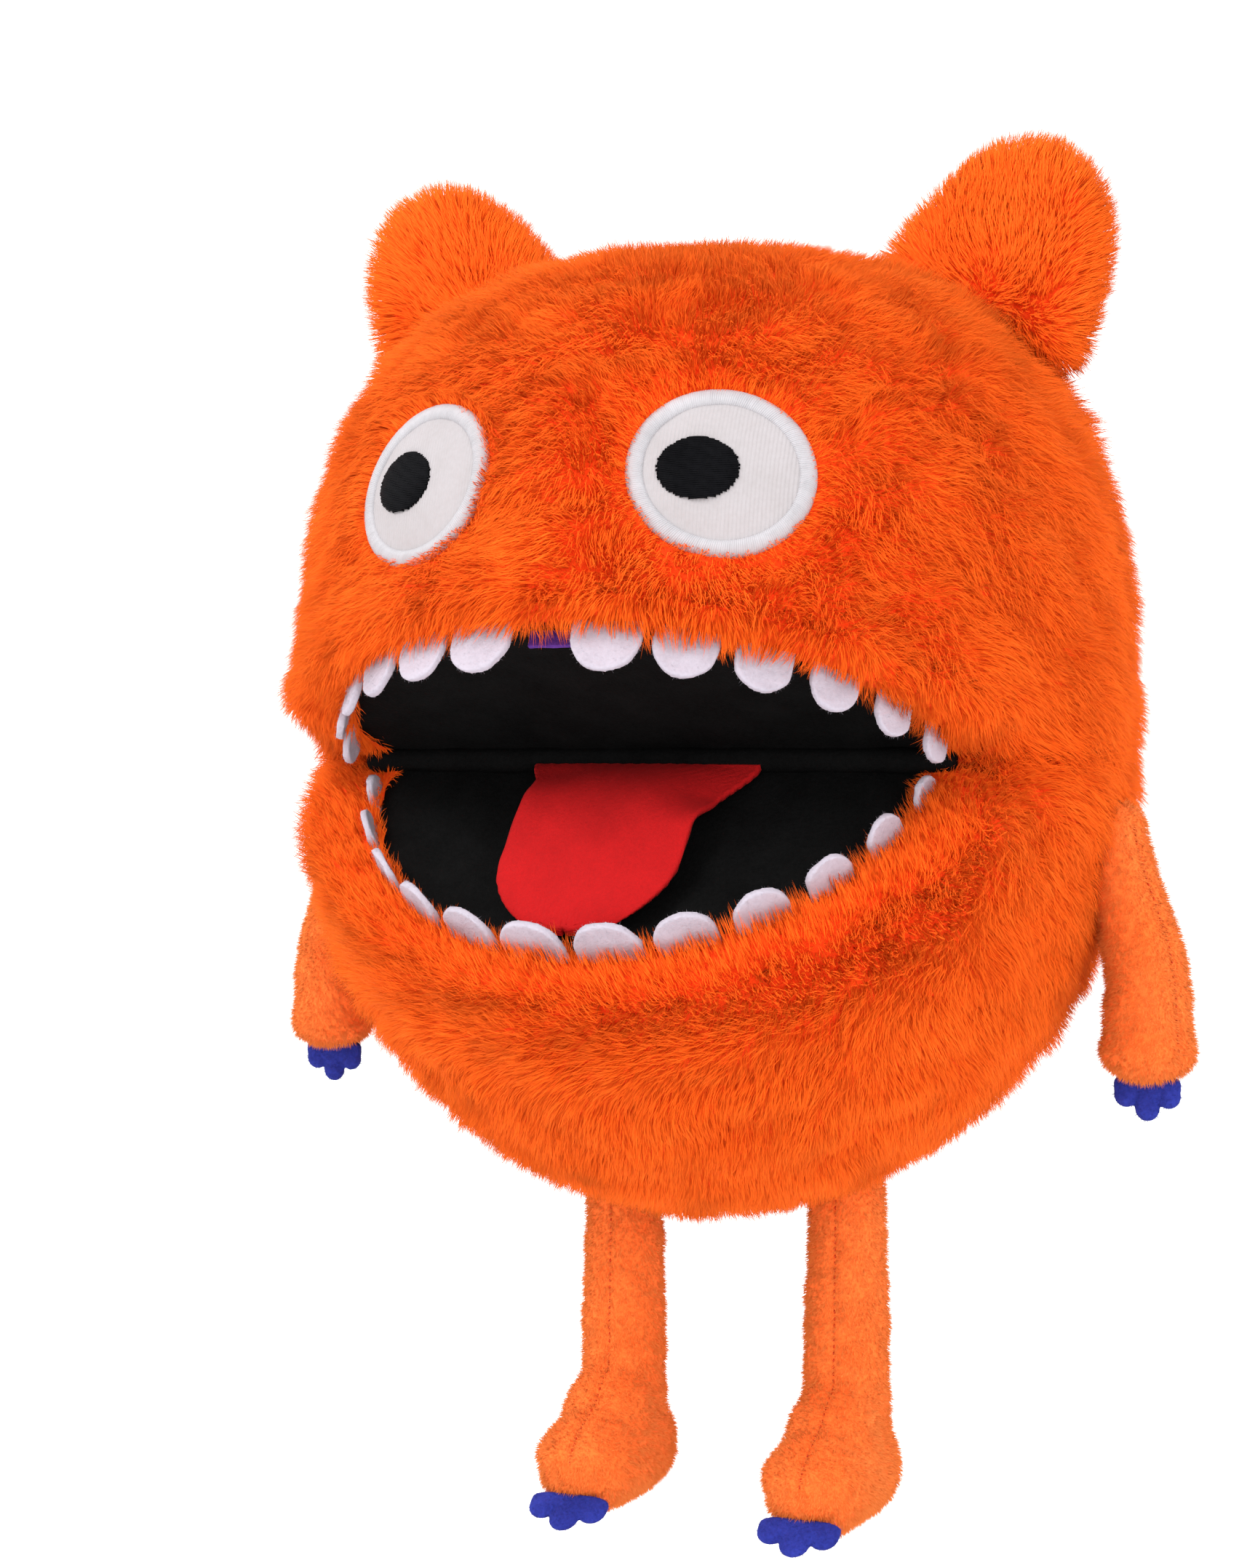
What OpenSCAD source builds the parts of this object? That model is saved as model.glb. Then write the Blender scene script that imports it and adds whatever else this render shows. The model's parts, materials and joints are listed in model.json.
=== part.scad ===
// Moving mouth hand puppet: a furry ball monster with a felt mouth, a tongue, ears, arms and legs.
// It faces -Y and +Z is up. The origin is the centre of the hand opening in its back.
// Angles round the mouth fold are measured from straight ahead, up being positive.

/* [Ball] */
// Radius of the plush ball at its widest
body_r = 94; // [78:1:113]
// Height of the dome above the mouth fold
dome_h = 114; // [95:1:137]
// Depth of the belly below the mouth fold
belly_h = 103; // [86:1:124]
// Thickness of the plush with its pile
plush_t = 6; // [4:0.5:8]

/* [Mouth] */
// Distance of the mouth fold in front of the ball's centre
fold_fwd = 38; // [34:1:44]
// Depth of the mouth's corners inside the ball's surface
corner_inset = 16; // [12:0.5:22]
// Depth of the upper lip inside the ball's surface
lip_inset = 1.5; // [1:0.5:8]
// Angle of the upper palate above level at rest
upper_open = 26; // [21:1:29]
// Angle of the lower palate below level at rest
lower_open = 45; // [39:1:48]
// Thickness of the black felt lining
lining_t = 1.2; // [0.8:0.1:2]
// Thickness of the stiffener board behind the lining
board_t = 1.8; // [1:0.1:2.4]
// Distance from the fold's axis to the face of each lining
lining_offset = 2; // [2:0.1:2.6]

/* [Teeth] */
// Width of the widest tooth
tooth_w = 15; // [12:0.5:18]
// Thickness of the tooth felt
tooth_t = 1.6; // [1:0.1:1.8]
// Least gap between neighbouring teeth
tooth_gap = 1; // [0.5:0.1:3]

/* [Tongue] */
// Distance from the tongue's tip to the edge of the lower palate
tongue_inset = 3; // [3:0.5:12]
// Width of the tongue at the fold
tongue_root_w = 54; // [42:1:56]
// Width of the tongue near its tip
tongue_tip_w = 38; // [30:1:38]
// Thickness of the tongue
tongue_t = 2.4; // [1.6:0.1:2.6]

/* [Hand space] */
// Inside radius of the hand sleeve
sleeve_r = 38.5; // [32:0.5:40]
// Thickness of the sleeve fabric
sleeve_t = 1.5; // [1:0.1:2]
// Thickness of the rolled cuff round the opening
cuff_t = 7; // [5:0.5:8]
// Angle at which the sleeve drops towards the back
sleeve_drop = 25; // [20:1:30]
// Distance from each side of the four-finger pocket to the mouth's corner
finger_inset = 30.5; // [30:0.5:37]
// Width of the pocket for the thumb
thumb_w = 31; // [26:1:37]
// Clear height of both pockets
pocket_h = 20; // [16:1:21]
// Distance from the closed end of both pockets to the edge of the upper palate
pocket_inset = 18; // [18:1:24]
// Thickness of the pocket fabric
pocket_t = 1.5; // [1:0.1:2]

/* [Eyes] */
// Width of an eye's white patch with its border
eye_w = 39; // [32:1:44]
// Height of an eye's white patch with its border
eye_h = 36; // [30:1:40]
// Width of the satin stitched border
border_w = 3.2; // [2:0.1:4]
// Width of a pupil
pupil_w = 17; // [12:0.5:19]
// Height of a pupil
pupil_h = 13.4; // [10:0.2:15]
// Angle of an eye from the middle of the face
eye_azimuth = 23; // [20:1:26]
// Height of the eyes above the fold
eye_z = 59; // [54:1:64]

/* [Ears] */
// Radius of an ear's round top
ear_r = 18.5; // [15:0.5:22]
// Height of an ear from its hinge to its tip
ear_h = 31; // [26:1:37]
// Thickness of an ear
ear_t = 13; // [10:0.5:14]
// Distance of an ear's base in from the ball's widest line
ear_inset = 32; // [28:1:36]
// How much more upright an ear stands than the surface under it
ear_upright = 6.8; // [1:0.1:11]

/* [Arms and legs] */
// Length of an arm without its claws
arm_len = 63; // [52:1:76]
// Radius of an arm
arm_r = 9.7; // [8:0.1:11]
// Length of a leg from the hip's pivot to the sole
leg_len = 68; // [58:1:82]
// Radius of a leg
leg_r = 10.5; // [8.5:0.1:12]
// Radius of a foot
foot_r = 12.5; // [11:0.1:15]
// Reach of a foot in front of its leg
foot_reach = 20; // [16:1:24]
// Distance of a leg from the middle
leg_x = 28.5; // [24:0.5:32]
// Thickness of the velboa skin on arms and legs
skin_t = 1.5; // [1:0.1:2]
// Thickness of the felt claws
claw_t = 2.6; // [2:0.1:3]

/* [Motion] */
// Extra opening of the upper jaw
head_open = 6; // [2:1:7]
// Extra opening of the lower jaw
jaw_open = 8; // [2:1:9]
// Travel of the upper jaw as the mouth shuts
head_close = 25; // [16:1:25]
// Travel of the lower jaw as the mouth shuts
jaw_close = 34; // [24:1:34]

/* [Hidden] */

// Clearances
body_gap = 0.4;   // between bodies that pass each other
layer_gap = 0.2;  // between sewn layers
seat_gap = 0.6;   // between the ball and what hinges on it

// Planes through the fold's axis that part the head, the body and the chin
head_back = 105;
jaw_back = 100;
body_top = head_back + head_open;
body_bottom = 360 - jaw_back - jaw_open;
shut_angle = upper_open + lower_open - head_close - jaw_close;

// Mouth, tongue and pockets, fitted inside the ball
mouth_half_w = sqrt(pow(body_r, 2) - pow(fold_fwd, 2)) - corner_inset;
palate_len = (body_r - lip_inset - fold_fwd) / cos(upper_open);
finger_w = 2 * (mouth_half_w - finger_inset);
pocket_len = palate_len - pocket_inset;

// Layers of a palate, as distances from the radial plane of its fold
board_in = lining_offset + lining_t;
board_out = board_in + board_t;
lip_h = board_out + layer_gap;
row_gap = 2.4;              // between the two rows of teeth when the mouth shuts
row_step = row_gap + tooth_t;
lower_half_w = mouth_half_w - row_step;
lower_len = palate_len - row_step;
tooth_taper = 0.09;         // how much narrower each tooth is than the one before it
tooth_bow = 0.0018;         // how far the palate's edge bows past a tooth, per width squared
// Angles from straight ahead of each row's first and last tooth. The tab parts the upper ones.
tab_w = 10;
tab_drop = 4;
tab_t = 1.2;
upper_first = asin((tooth_w / 2 + tab_w / 2 + 1.5) / mouth_half_w);
lower_first = asin((tooth_w / 2 + 1.1) / lower_half_w);
upper_last = 79;
lower_last = 80;
// As many teeth as fit along the lip, where they are widest
tooth_pitch = tooth_w * (1 - tooth_taper / 2) + tooth_gap;
lip_per_degree = PI / 180 * mouth_half_w;
teeth_per_side = 1 + floor((upper_last - upper_first) * lip_per_degree / tooth_pitch);
tongue_len = lower_len - tongue_inset;
pocket_in = board_out + layer_gap / 2;
pocket_out = pocket_in + pocket_h + pocket_t;
pocket_back = 4;
hand_room = pocket_out + 5; // free round the fold for the knuckles
corner_room = lip_h + 4;    // free round the fold between the cheeks and the lips

// Ball profile: a flat topped dome over a round belly
dome_n = 2.9;
belly_n = 2;
arc_steps = 12;

// Hand opening
sleeve_z = -4;
cuff_mid_r = sleeve_r + cuff_t / 2;
cuff_proud = 0.45;  // how far the middle of the cuff stands out of the ball
cuff_dist = sqrt(pow(body_r + cuff_proud, 2) - pow(cuff_mid_r, 2));
sleeve_start = 6;
open_y = cuff_dist * cos(sleeve_drop);
open_z = sleeve_z - cuff_dist * sin(sleeve_drop);

// Eyes
eye_tilt = 12;
eye_slope = atan(side_slope(eye_z));
eye_recess = 2.6;
eye_t = 1.6;
border_t = 2;
pupil_t = 0.8;
gaze = 4.8;       // both pupils look to the puppet's right

// Where an ear's hinge lies
ear_seat = ear_t / 2 + 2 * seat_gap;
ear_x = body_r - ear_inset;
ear_base_z = dome_z(ear_x);
ear_side_lean = atan(top_slope(ear_x));
ear_lean = ear_side_lean - ear_upright;
ear_hinge_x = ear_x + ear_seat * sin(ear_side_lean);
ear_hinge_z = ear_base_z + ear_seat * cos(ear_side_lean);
ear_behind = 4.3;    // from the front edge of the cheek to an ear's hinge
ear_hinge_y = ear_base_z * tan(body_top - 90) - fold_fwd + ear_behind;
seam_y = ear_hinge_y + 3;  // the ring seam, just behind the ears' hinges
ear_skin = 2;
ear_flare = 2;    // how much wider an ear is at its base than at its top

// Where an arm and a leg hang
arm_top_r = arm_r * 0.78;     // an arm narrows towards its shoulder, and a leg towards its hip
hip_r = leg_r * 0.86;
arm_x = body_r + seat_gap + layer_gap * 2 + arm_top_r;
arm_drop = 8;                 // from the fold's height to the top of an arm
arm_z = -arm_drop - arm_top_r;
leg_y = 11;
hip_z = belly_z(norm([leg_x, leg_y]) - leg_r / 2) - hip_r - seat_gap;
claw_lobe = 0.195;  // radius of a claw's lobe, as a share of the claws' width
hand_claw_w = 1.55 * arm_r;   // a little narrower than the wrist
foot_claw_w = 1.52 * foot_r;  // a little narrower than the foot
foot_claw_droop = 30;         // how far below level the foot's claws point
claw_side = 1.3;              // length of the outer claws and of the middle one, in lobes
claw_middle = 2.1;

// Colours
fur_orange = "orangered";
velboa_orange = "tomato";
felt_blue = "mediumblue";
fill_white = "whitesmoke";

$fn = 64;

function dome_z(r) = dome_h * pow(1 - pow(r / body_r, dome_n), 1 / dome_n);
function belly_z(r) = -belly_h * sqrt(1 - pow(r / body_r, belly_n));
// Radius of the ball at a height
function ball_r(z) = z > 0
    ? body_r * pow(1 - pow(z / dome_h, dome_n), 1 / dome_n)
    : body_r * sqrt(1 - pow(z / belly_h, belly_n));
// How steeply the dome falls at a distance from the middle, and leans in at a height
function top_slope(r) = dome_h / body_r * pow(r / body_r, dome_n - 1)
    * pow(1 - pow(r / body_r, dome_n), 1 / dome_n - 1);
function side_slope(z) = body_r / dome_h * pow(z / dome_h, dome_n - 1)
    * pow(1 - pow(z / dome_h, dome_n), 1 / dome_n - 1);
// One point of a superellipse, by its angle
function bulge(a, w, h, n) = [
    w * pow(abs(cos(a)), 2 / n),
    h * pow(abs(sin(a)), 2 / n)
];
// Half outline of the ball, in from the surface by t, from the bottom up
function half_outline(t) = concat(
    [for (i = [arc_steps : -1 : 1])
        let (p = bulge(90 * i / arc_steps, body_r - t, belly_h - t, belly_n))
            [i == arc_steps ? 0 : p[0], -p[1]]],
    [for (i = [0 : arc_steps])
        let (p = bulge(90 * i / arc_steps, body_r - t, dome_h - t, dome_n))
            [i == arc_steps ? 0 : p[0], p[1]]]
);

// Moves the ball's own frame to the hand opening
module place() {
    translate([0, -open_y, -open_z]) children();
}

module ball(t = 0) {
    rotate_extrude($fn = 96) polygon(half_outline(t));
}

module plush_shell() {
    difference() {
        ball();
        ball(plush_t);
    }
}

// Extrudes a side view, drawn forward and up from the fold, across the puppet
module across(w) {
    translate([0, -fold_fwd, 0]) rotate([90, 0, -90]) linear_extrude(w, center = true) children();
}

// A wedge round the fold's axis from angle a0 to a1, its faces drawn in by inset
module wedge(a0, a1, inset = 0) {
    mid = (a0 + a1) / 2;
    half = (a1 - a0) / 2;
    far = 4 * body_r;
    shift = inset / sin(half);
    across(4 * body_r)
        translate([shift * cos(mid), shift * sin(mid)])
            polygon([[0, 0], [far * cos(a0), far * sin(a0)], [far * cos(mid), far * sin(mid)],
                     [far * cos(a1), far * sin(a1)]]);
}

// Puts children, drawn with X across, Y along the palate and Z away from the mouth, on a palate.
module on_upper() {
    translate([0, -fold_fwd, 0]) rotate([-upper_open, 0, 0]) mirror([0, 1, 0]) children();
}

module on_lower() {
    translate([0, -fold_fwd, 0]) rotate([lower_open, 0, 0]) mirror([0, 1, 0]) mirror([0, 0, 1]) children();
}

// Half an ellipse, flat side on the fold
module palate_outline(half_w, len, start) {
    polygon(concat(
        [[half_w, start]],
        [for (a = [0 : 7.5 : 180]) [half_w * cos(a), max(start, len * sin(a))]],
        [[-half_w, start]]
    ));
}

module palate_layer(half_w, len, start, h0, h1) {
    translate([0, 0, h0]) linear_extrude(h1 - h0) palate_outline(half_w, len, start);
}

module ellipse(w, h) {
    polygon([for (a = [0 : 10 : 350]) [w / 2 * cos(a), h / 2 * sin(a)]]);
}

// Body -------------------------------------------------------------------

module sleeve_axis() {
    translate([0, 0, sleeve_z]) rotate([-90 - sleeve_drop, 0, 0]) children();
}

module hand_hole(r) {
    sleeve_axis() translate([0, 0, -fold_fwd]) cylinder(r = r, h = 3 * body_r);
}

module back_panel() {
    color(fur_orange) place() difference() {
        intersection() {
            plush_shell();
            wedge(body_top, body_bottom, body_gap);
            translate([-2 * body_r, seam_y, -2 * belly_h]) cube([4 * body_r, 2 * body_r, 4 * dome_h]);
        }
        hand_hole(cuff_mid_r + cuff_t / 2 + layer_gap);
    }
}

module cheek(side) {
    color(fur_orange) place() difference() {
        intersection() {
            plush_shell();
            wedge(body_top, body_bottom, body_gap);
            translate([side > 0 ? 0 : -2 * body_r, -2 * body_r, -2 * belly_h])
                cube([2 * body_r, 2 * body_r + seam_y - layer_gap, 4 * dome_h]);
        }
        across(4 * body_r) circle(r = corner_room, $fn = 32);
        translate([-layer_gap / 2, -body_r, -2 * belly_h]) cube([layer_gap, 2 * body_r, 4 * dome_h]);
    }
}

module cheek_left() { cheek(1); }
module cheek_right() { cheek(-1); }

// The strips of fur that give when the jaws move
module brow_gusset() {
    color("orange") place() intersection() {
        plush_shell();
        wedge(head_back, body_top, body_gap / 2);
    }
}

module chin_gusset() {
    color("orange") place() intersection() {
        plush_shell();
        wedge(body_bottom, 360 - jaw_back, body_gap / 2);
    }
}

module body_stuffing() {
    color(fill_white) place() difference() {
        intersection() {
            ball(plush_t + layer_gap);
            wedge(body_top, body_bottom, body_gap + layer_gap);
            translate([-2 * body_r, 0, -2 * belly_h]) cube([4 * body_r, 2 * body_r, 4 * dome_h]);
        }
        hand_hole(sleeve_r + sleeve_t + layer_gap);
        sleeve_axis() translate([0, 0, cuff_dist - cuff_t / 2 - layer_gap])
            cylinder(r = cuff_mid_r + cuff_t / 2 + layer_gap, h = body_r);
    }
}

module hand_sleeve() {
    color("black") place() sleeve_axis() translate([0, 0, sleeve_start]) difference() {
        sleeve_len = cuff_dist - cuff_t / 2 - layer_gap - sleeve_start;
        cylinder(r = sleeve_r + sleeve_t, h = sleeve_len);
        translate([0, 0, -1]) cylinder(r = sleeve_r, h = sleeve_len + 2);
    }
}

module hand_cuff() {
    color("black") place() sleeve_axis() translate([0, 0, cuff_dist])
        rotate_extrude() translate([cuff_mid_r, 0]) circle(d = cuff_t, $fn = 32);
}

module mouth_fold() {
    color("black") place() across(2 * mouth_half_w) circle(r = lining_offset - body_gap, $fn = 32);
}

// Head -------------------------------------------------------------------

module head_plush() {
    color(fur_orange) place() difference() {
        intersection() {
            plush_shell();
            wedge(upper_open, head_back);
        }
        on_upper() translate([-2 * body_r, -body_r, -body_r]) cube([4 * body_r, 4 * body_r, body_r + lip_h]);
        for (side = [-1, 1])
            eye_frame(side) translate([0, 0, -eye_recess])
                linear_extrude(4 * eye_recess) ellipse(eye_w + layer_gap, eye_h + layer_gap);
    }
}

module head_stuffing() {
    color(fill_white) place() difference() {
        intersection() {
            ball(plush_t + layer_gap);
            wedge(upper_open, head_back, layer_gap);
        }
        on_upper() translate([-2 * body_r, -body_r, -body_r])
            cube([4 * body_r, 4 * body_r, body_r + pocket_out + layer_gap]);
        across(4 * body_r) circle(r = hand_room);
    }
}

module upper_lining() {
    color("black") place() on_upper()
        palate_layer(mouth_half_w, palate_len, 0.5, lining_offset, board_in);
}

module upper_stiffener() {
    color("tan") place() on_upper()
        palate_layer(mouth_half_w - 1, palate_len - 1, 3, board_in, board_out);
}

// A pocket open towards the wrist, closed on its other three sides
module pocket(w) {
    translate([0, 0, pocket_in]) difference() {
        translate([-w / 2 - pocket_t, pocket_back, 0])
            cube([w + 2 * pocket_t, pocket_len + pocket_t - pocket_back, pocket_h + pocket_t]);
        translate([-w / 2, pocket_back - 1, -1])
            cube([w, pocket_len - pocket_back + 1, pocket_h + 1]);
    }
}

module finger_pocket() { color("dimgray") place() on_upper() pocket(finger_w); }

// One felt tooth, its sewn edge behind the lining and its round end reaching into the mouth
module tooth(w, reach) {
    rotate([90, 0, 0]) linear_extrude(tooth_t) intersection() {
        union() {
            translate([-w / 2, w / 2 - reach]) square([w, reach + board_out]);
            translate([0, w / 2 - reach]) circle(d = w, $fn = 32);
        }
        translate([-w, -2 * reach]) square([2 * w, 2 * reach + board_out]);
    }
}

// Teeth stand along the lip, smaller towards the corners of the mouth. Room is how steeply
// the shut mouth opens in front of a row that has to fit inside the other palate.
module tooth_row(half_w, len, first, last, room) {
    for (side = [-1, 1])
        for (i = [0 : teeth_per_side - 1]) {
            a = first + i * (last - first) / (teeth_per_side - 1);
            w = tooth_w * (1 - tooth_taper * i);
            y = len * cos(a);
            turn = atan2(len * sin(a), half_w * cos(a));
            reach = min(lining_offset + w / 2, lining_offset - body_gap + y * room);
            translate([side * half_w * sin(a), y, 0]) rotate([0, 0, -side * turn])
                translate([0, tooth_t + layer_gap + w * w * tooth_bow, 0]) tooth(w, reach);
        }
}

module upper_teeth() {
    color("white") place() on_upper() tooth_row(mouth_half_w, palate_len, upper_first, upper_last, 1);
}

module lip_tab() {
    color("rebeccapurple") place() on_upper()
        translate([-tab_w / 2, palate_len - 4, lining_offset - tab_drop])
            cube([tab_w, tab_t, tab_drop - layer_gap]);
}

// The tangent frame of an eye: X across, Y up, Z out of the face
module eye_frame(side) {
    rotate([0, 0, side * eye_azimuth])
        translate([0, -ball_r(eye_z), eye_z])
            rotate([90 - eye_slope, 0, 0])
                rotate([0, 0, -side * eye_tilt]) children();
}

module eye_white(side) {
    color("white") place() eye_frame(side) translate([0, 0, -eye_recess + layer_gap])
        linear_extrude(eye_t) ellipse(eye_w - 2 * border_w, eye_h - 2 * border_w);
}

module eye_border(side) {
    color("ghostwhite") place() eye_frame(side) translate([0, 0, -eye_recess + layer_gap])
        linear_extrude(border_t) difference() {
            ellipse(eye_w - layer_gap, eye_h - layer_gap);
            ellipse(eye_w - 2 * border_w + layer_gap, eye_h - 2 * border_w + layer_gap);
        }
}

module pupil(side) {
    color("black") place() eye_frame(side)
        rotate([0, 0, side * eye_tilt]) translate([-gaze, 0.5, -eye_recess + layer_gap + eye_t])
            linear_extrude(pupil_t) ellipse(pupil_w, pupil_h);
}

module eye_white_left() { eye_white(1); }
module eye_white_right() { eye_white(-1); }
module eye_border_left() { eye_border(1); }
module eye_border_right() { eye_border(-1); }
module pupil_left() { pupil(1); }
module pupil_right() { pupil(-1); }

// Lower jaw --------------------------------------------------------------

module chin_plush() {
    color(fur_orange) place() difference() {
        intersection() {
            plush_shell();
            wedge(-jaw_back, -lower_open);
        }
        on_lower() translate([-2 * body_r, -body_r, -body_r]) cube([4 * body_r, 4 * body_r, body_r + lip_h]);
    }
}

module chin_stuffing() {
    color(fill_white) place() difference() {
        intersection() {
            ball(plush_t + layer_gap);
            wedge(-jaw_back, -lower_open, layer_gap);
        }
        on_lower() translate([-2 * body_r, -body_r, -body_r])
            cube([4 * body_r, 4 * body_r, body_r + pocket_out + layer_gap]);
        across(4 * body_r) circle(r = hand_room);
    }
}

module lower_lining() {
    color("black") place() on_lower()
        palate_layer(lower_half_w, lower_len, 0.5, lining_offset, board_in);
}

module lower_stiffener() {
    color("tan") place() on_lower()
        palate_layer(lower_half_w - 1, lower_len - 1, 3, board_in, board_out);
}

module thumb_pocket() { color("dimgray") place() on_lower() pocket(thumb_w); }

module lower_teeth() {
    color("white") place() on_lower()
        tooth_row(lower_half_w, lower_len, lower_first, lower_last, tan(shut_angle));
}

// The tongue lies on the lower lining and hinges at the fold
module tongue() {
    tip_r = tongue_tip_w / 2;
    root = 3;
    color("red") place() on_lower()
        translate([0, 0, lining_offset - body_gap - tongue_t]) linear_extrude(tongue_t) union() {
            polygon([[-tongue_root_w / 2, root], [tongue_root_w / 2, root],
                     [tip_r, tongue_len - tip_r], [-tip_r, tongue_len - tip_r]]);
            intersection() {
                translate([0, tongue_len - tip_r]) circle(r = tip_r);
                translate([-tip_r, root]) square([2 * tip_r, tongue_len]);
            }
        }
}

// Ears -------------------------------------------------------------------

// An ear's own frame: the origin on its hinge, Y up the ear and Z forward
module ear_frame(side) {
    translate([side * ear_hinge_x, ear_hinge_y, ear_hinge_z])
        rotate([90, 0, 0]) rotate([0, 0, -side * ear_lean]) children();
}

module ear_shape(t) {
    r = ear_r - t;
    thick = ear_t - 2 * t;
    base = r + ear_flare;
    union() {
        linear_extrude(thick, center = true) union() {
            translate([0, ear_h - ear_r]) circle(r = r);
            polygon([[-base, 0], [base, 0], [r, ear_h - ear_r], [-r, ear_h - ear_r]]);
        }
        rotate([0, 90, 0]) cylinder(d = thick, h = 2 * base, center = true);
    }
}

module ear(side) {
    color(fur_orange) place() ear_frame(side) difference() {
        ear_shape(0);
        ear_shape(ear_skin);
    }
}

module ear_stuffing(side) {
    color(fill_white) place() ear_frame(side) ear_shape(ear_skin + layer_gap);
}

module ear_left() { ear(1); }
module ear_right() { ear(-1); }
module ear_stuffing_left() { ear_stuffing(1); }
module ear_stuffing_right() { ear_stuffing(-1); }

// Arms and legs ----------------------------------------------------------

// An arm hanging from its shoulder pivot: narrow at the top, round at the wrist
module arm_shape(t) {
    wrist_z = -arm_len + arm_top_r + arm_r;
    union() {
        sphere(r = arm_top_r - t, $fn = 48);
        translate([0, 0, wrist_z]) cylinder(r1 = arm_r - t, r2 = arm_top_r - t, h = -wrist_z, $fn = 48);
        translate([0, 0, wrist_z]) sphere(r = arm_r - t, $fn = 48);
    }
}

module arm_frame(side) { translate([side * arm_x, 0, arm_z]) children(); }

module arm(side) {
    color(velboa_orange) place() arm_frame(side) difference() {
        arm_shape(0);
        arm_shape(skin_t);
    }
}

module arm_stuffing(side) {
    color(fill_white) place() arm_frame(side) arm_shape(skin_t + layer_gap);
}

// Three rounded felt claws, the middle one longest, pointing along -Y
module claws(w) {
    lobe = w * claw_lobe;
    linear_extrude(claw_t, center = true) union() {
        translate([-w / 2, -lobe * claw_side]) square([w, lobe * claw_side]);
        for (i = [-1 : 1])
            translate([i * (w / 2 - lobe), -lobe * (i == 0 ? claw_middle : claw_side)])
                circle(r = lobe, $fn = 32);
    }
}

module hand_claws(side) {
    color(felt_blue) place() arm_frame(side)
        translate([0, 0, arm_top_r - arm_len - layer_gap]) rotate([90, 0, 0]) claws(hand_claw_w);
}

module arm_left() { arm(1); }
module arm_right() { arm(-1); }
module arm_stuffing_left() { arm_stuffing(1); }
module arm_stuffing_right() { arm_stuffing(-1); }
module hand_claws_left() { hand_claws(1); }
module hand_claws_right() { hand_claws(-1); }

// A leg hanging from its hip pivot, with a foot that points forward
module leg_shape(t) {
    sole_z = -leg_len + foot_r;
    union() {
        sphere(r = hip_r - t, $fn = 48);
        translate([0, 0, sole_z]) cylinder(r1 = leg_r - t, r2 = hip_r - t, h = -sole_z, $fn = 48);
        translate([0, 0, sole_z]) sphere(r = foot_r - t, $fn = 48);
        translate([0, 0, sole_z]) rotate([90, 0, 0]) cylinder(r = foot_r - t, h = foot_reach, $fn = 48);
        translate([0, -foot_reach, sole_z]) sphere(r = foot_r - t, $fn = 48);
    }
}

module leg_frame(side) { translate([side * leg_x, leg_y, hip_z]) children(); }

module leg(side) {
    color(velboa_orange) place() leg_frame(side) difference() {
        leg_shape(0);
        leg_shape(skin_t);
    }
}

module leg_stuffing(side) {
    color(fill_white) place() leg_frame(side) leg_shape(skin_t + layer_gap);
}

module foot_claws(side) {
    color(felt_blue) place() leg_frame(side)
        translate([0, -foot_reach, -leg_len + foot_r])
        rotate([foot_claw_droop, 0, 0]) translate([0, -foot_r - layer_gap, 0]) claws(foot_claw_w);
}

module leg_left() { leg(1); }
module leg_right() { leg(-1); }
module leg_stuffing_left() { leg_stuffing(1); }
module leg_stuffing_right() { leg_stuffing(-1); }
module foot_claws_left() { foot_claws(1); }
module foot_claws_right() { foot_claws(-1); }

back_panel();
cheek_left();
cheek_right();
brow_gusset();
chin_gusset();
body_stuffing();
hand_sleeve();
hand_cuff();
mouth_fold();
head_plush();
head_stuffing();
upper_lining();
upper_stiffener();
finger_pocket();
upper_teeth();
lip_tab();
eye_white_left();
eye_white_right();
eye_border_left();
eye_border_right();
pupil_left();
pupil_right();
chin_plush();
chin_stuffing();
lower_lining();
lower_stiffener();
thumb_pocket();
lower_teeth();
tongue();
ear_left();
ear_right();
ear_stuffing_left();
ear_stuffing_right();
arm_left();
arm_right();
arm_stuffing_left();
arm_stuffing_right();
hand_claws_left();
hand_claws_right();
leg_left();
leg_right();
leg_stuffing_left();
leg_stuffing_right();
foot_claws_left();
foot_claws_right();
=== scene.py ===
"""Looks of the moving mouth hand puppet: long fur on the ball and ears, short pile on arms and legs."""
import json
import math

import bmesh
import bpy
import numpy as np
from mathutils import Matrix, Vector, kdtree
from mathutils.bvhtree import BVHTree


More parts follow.
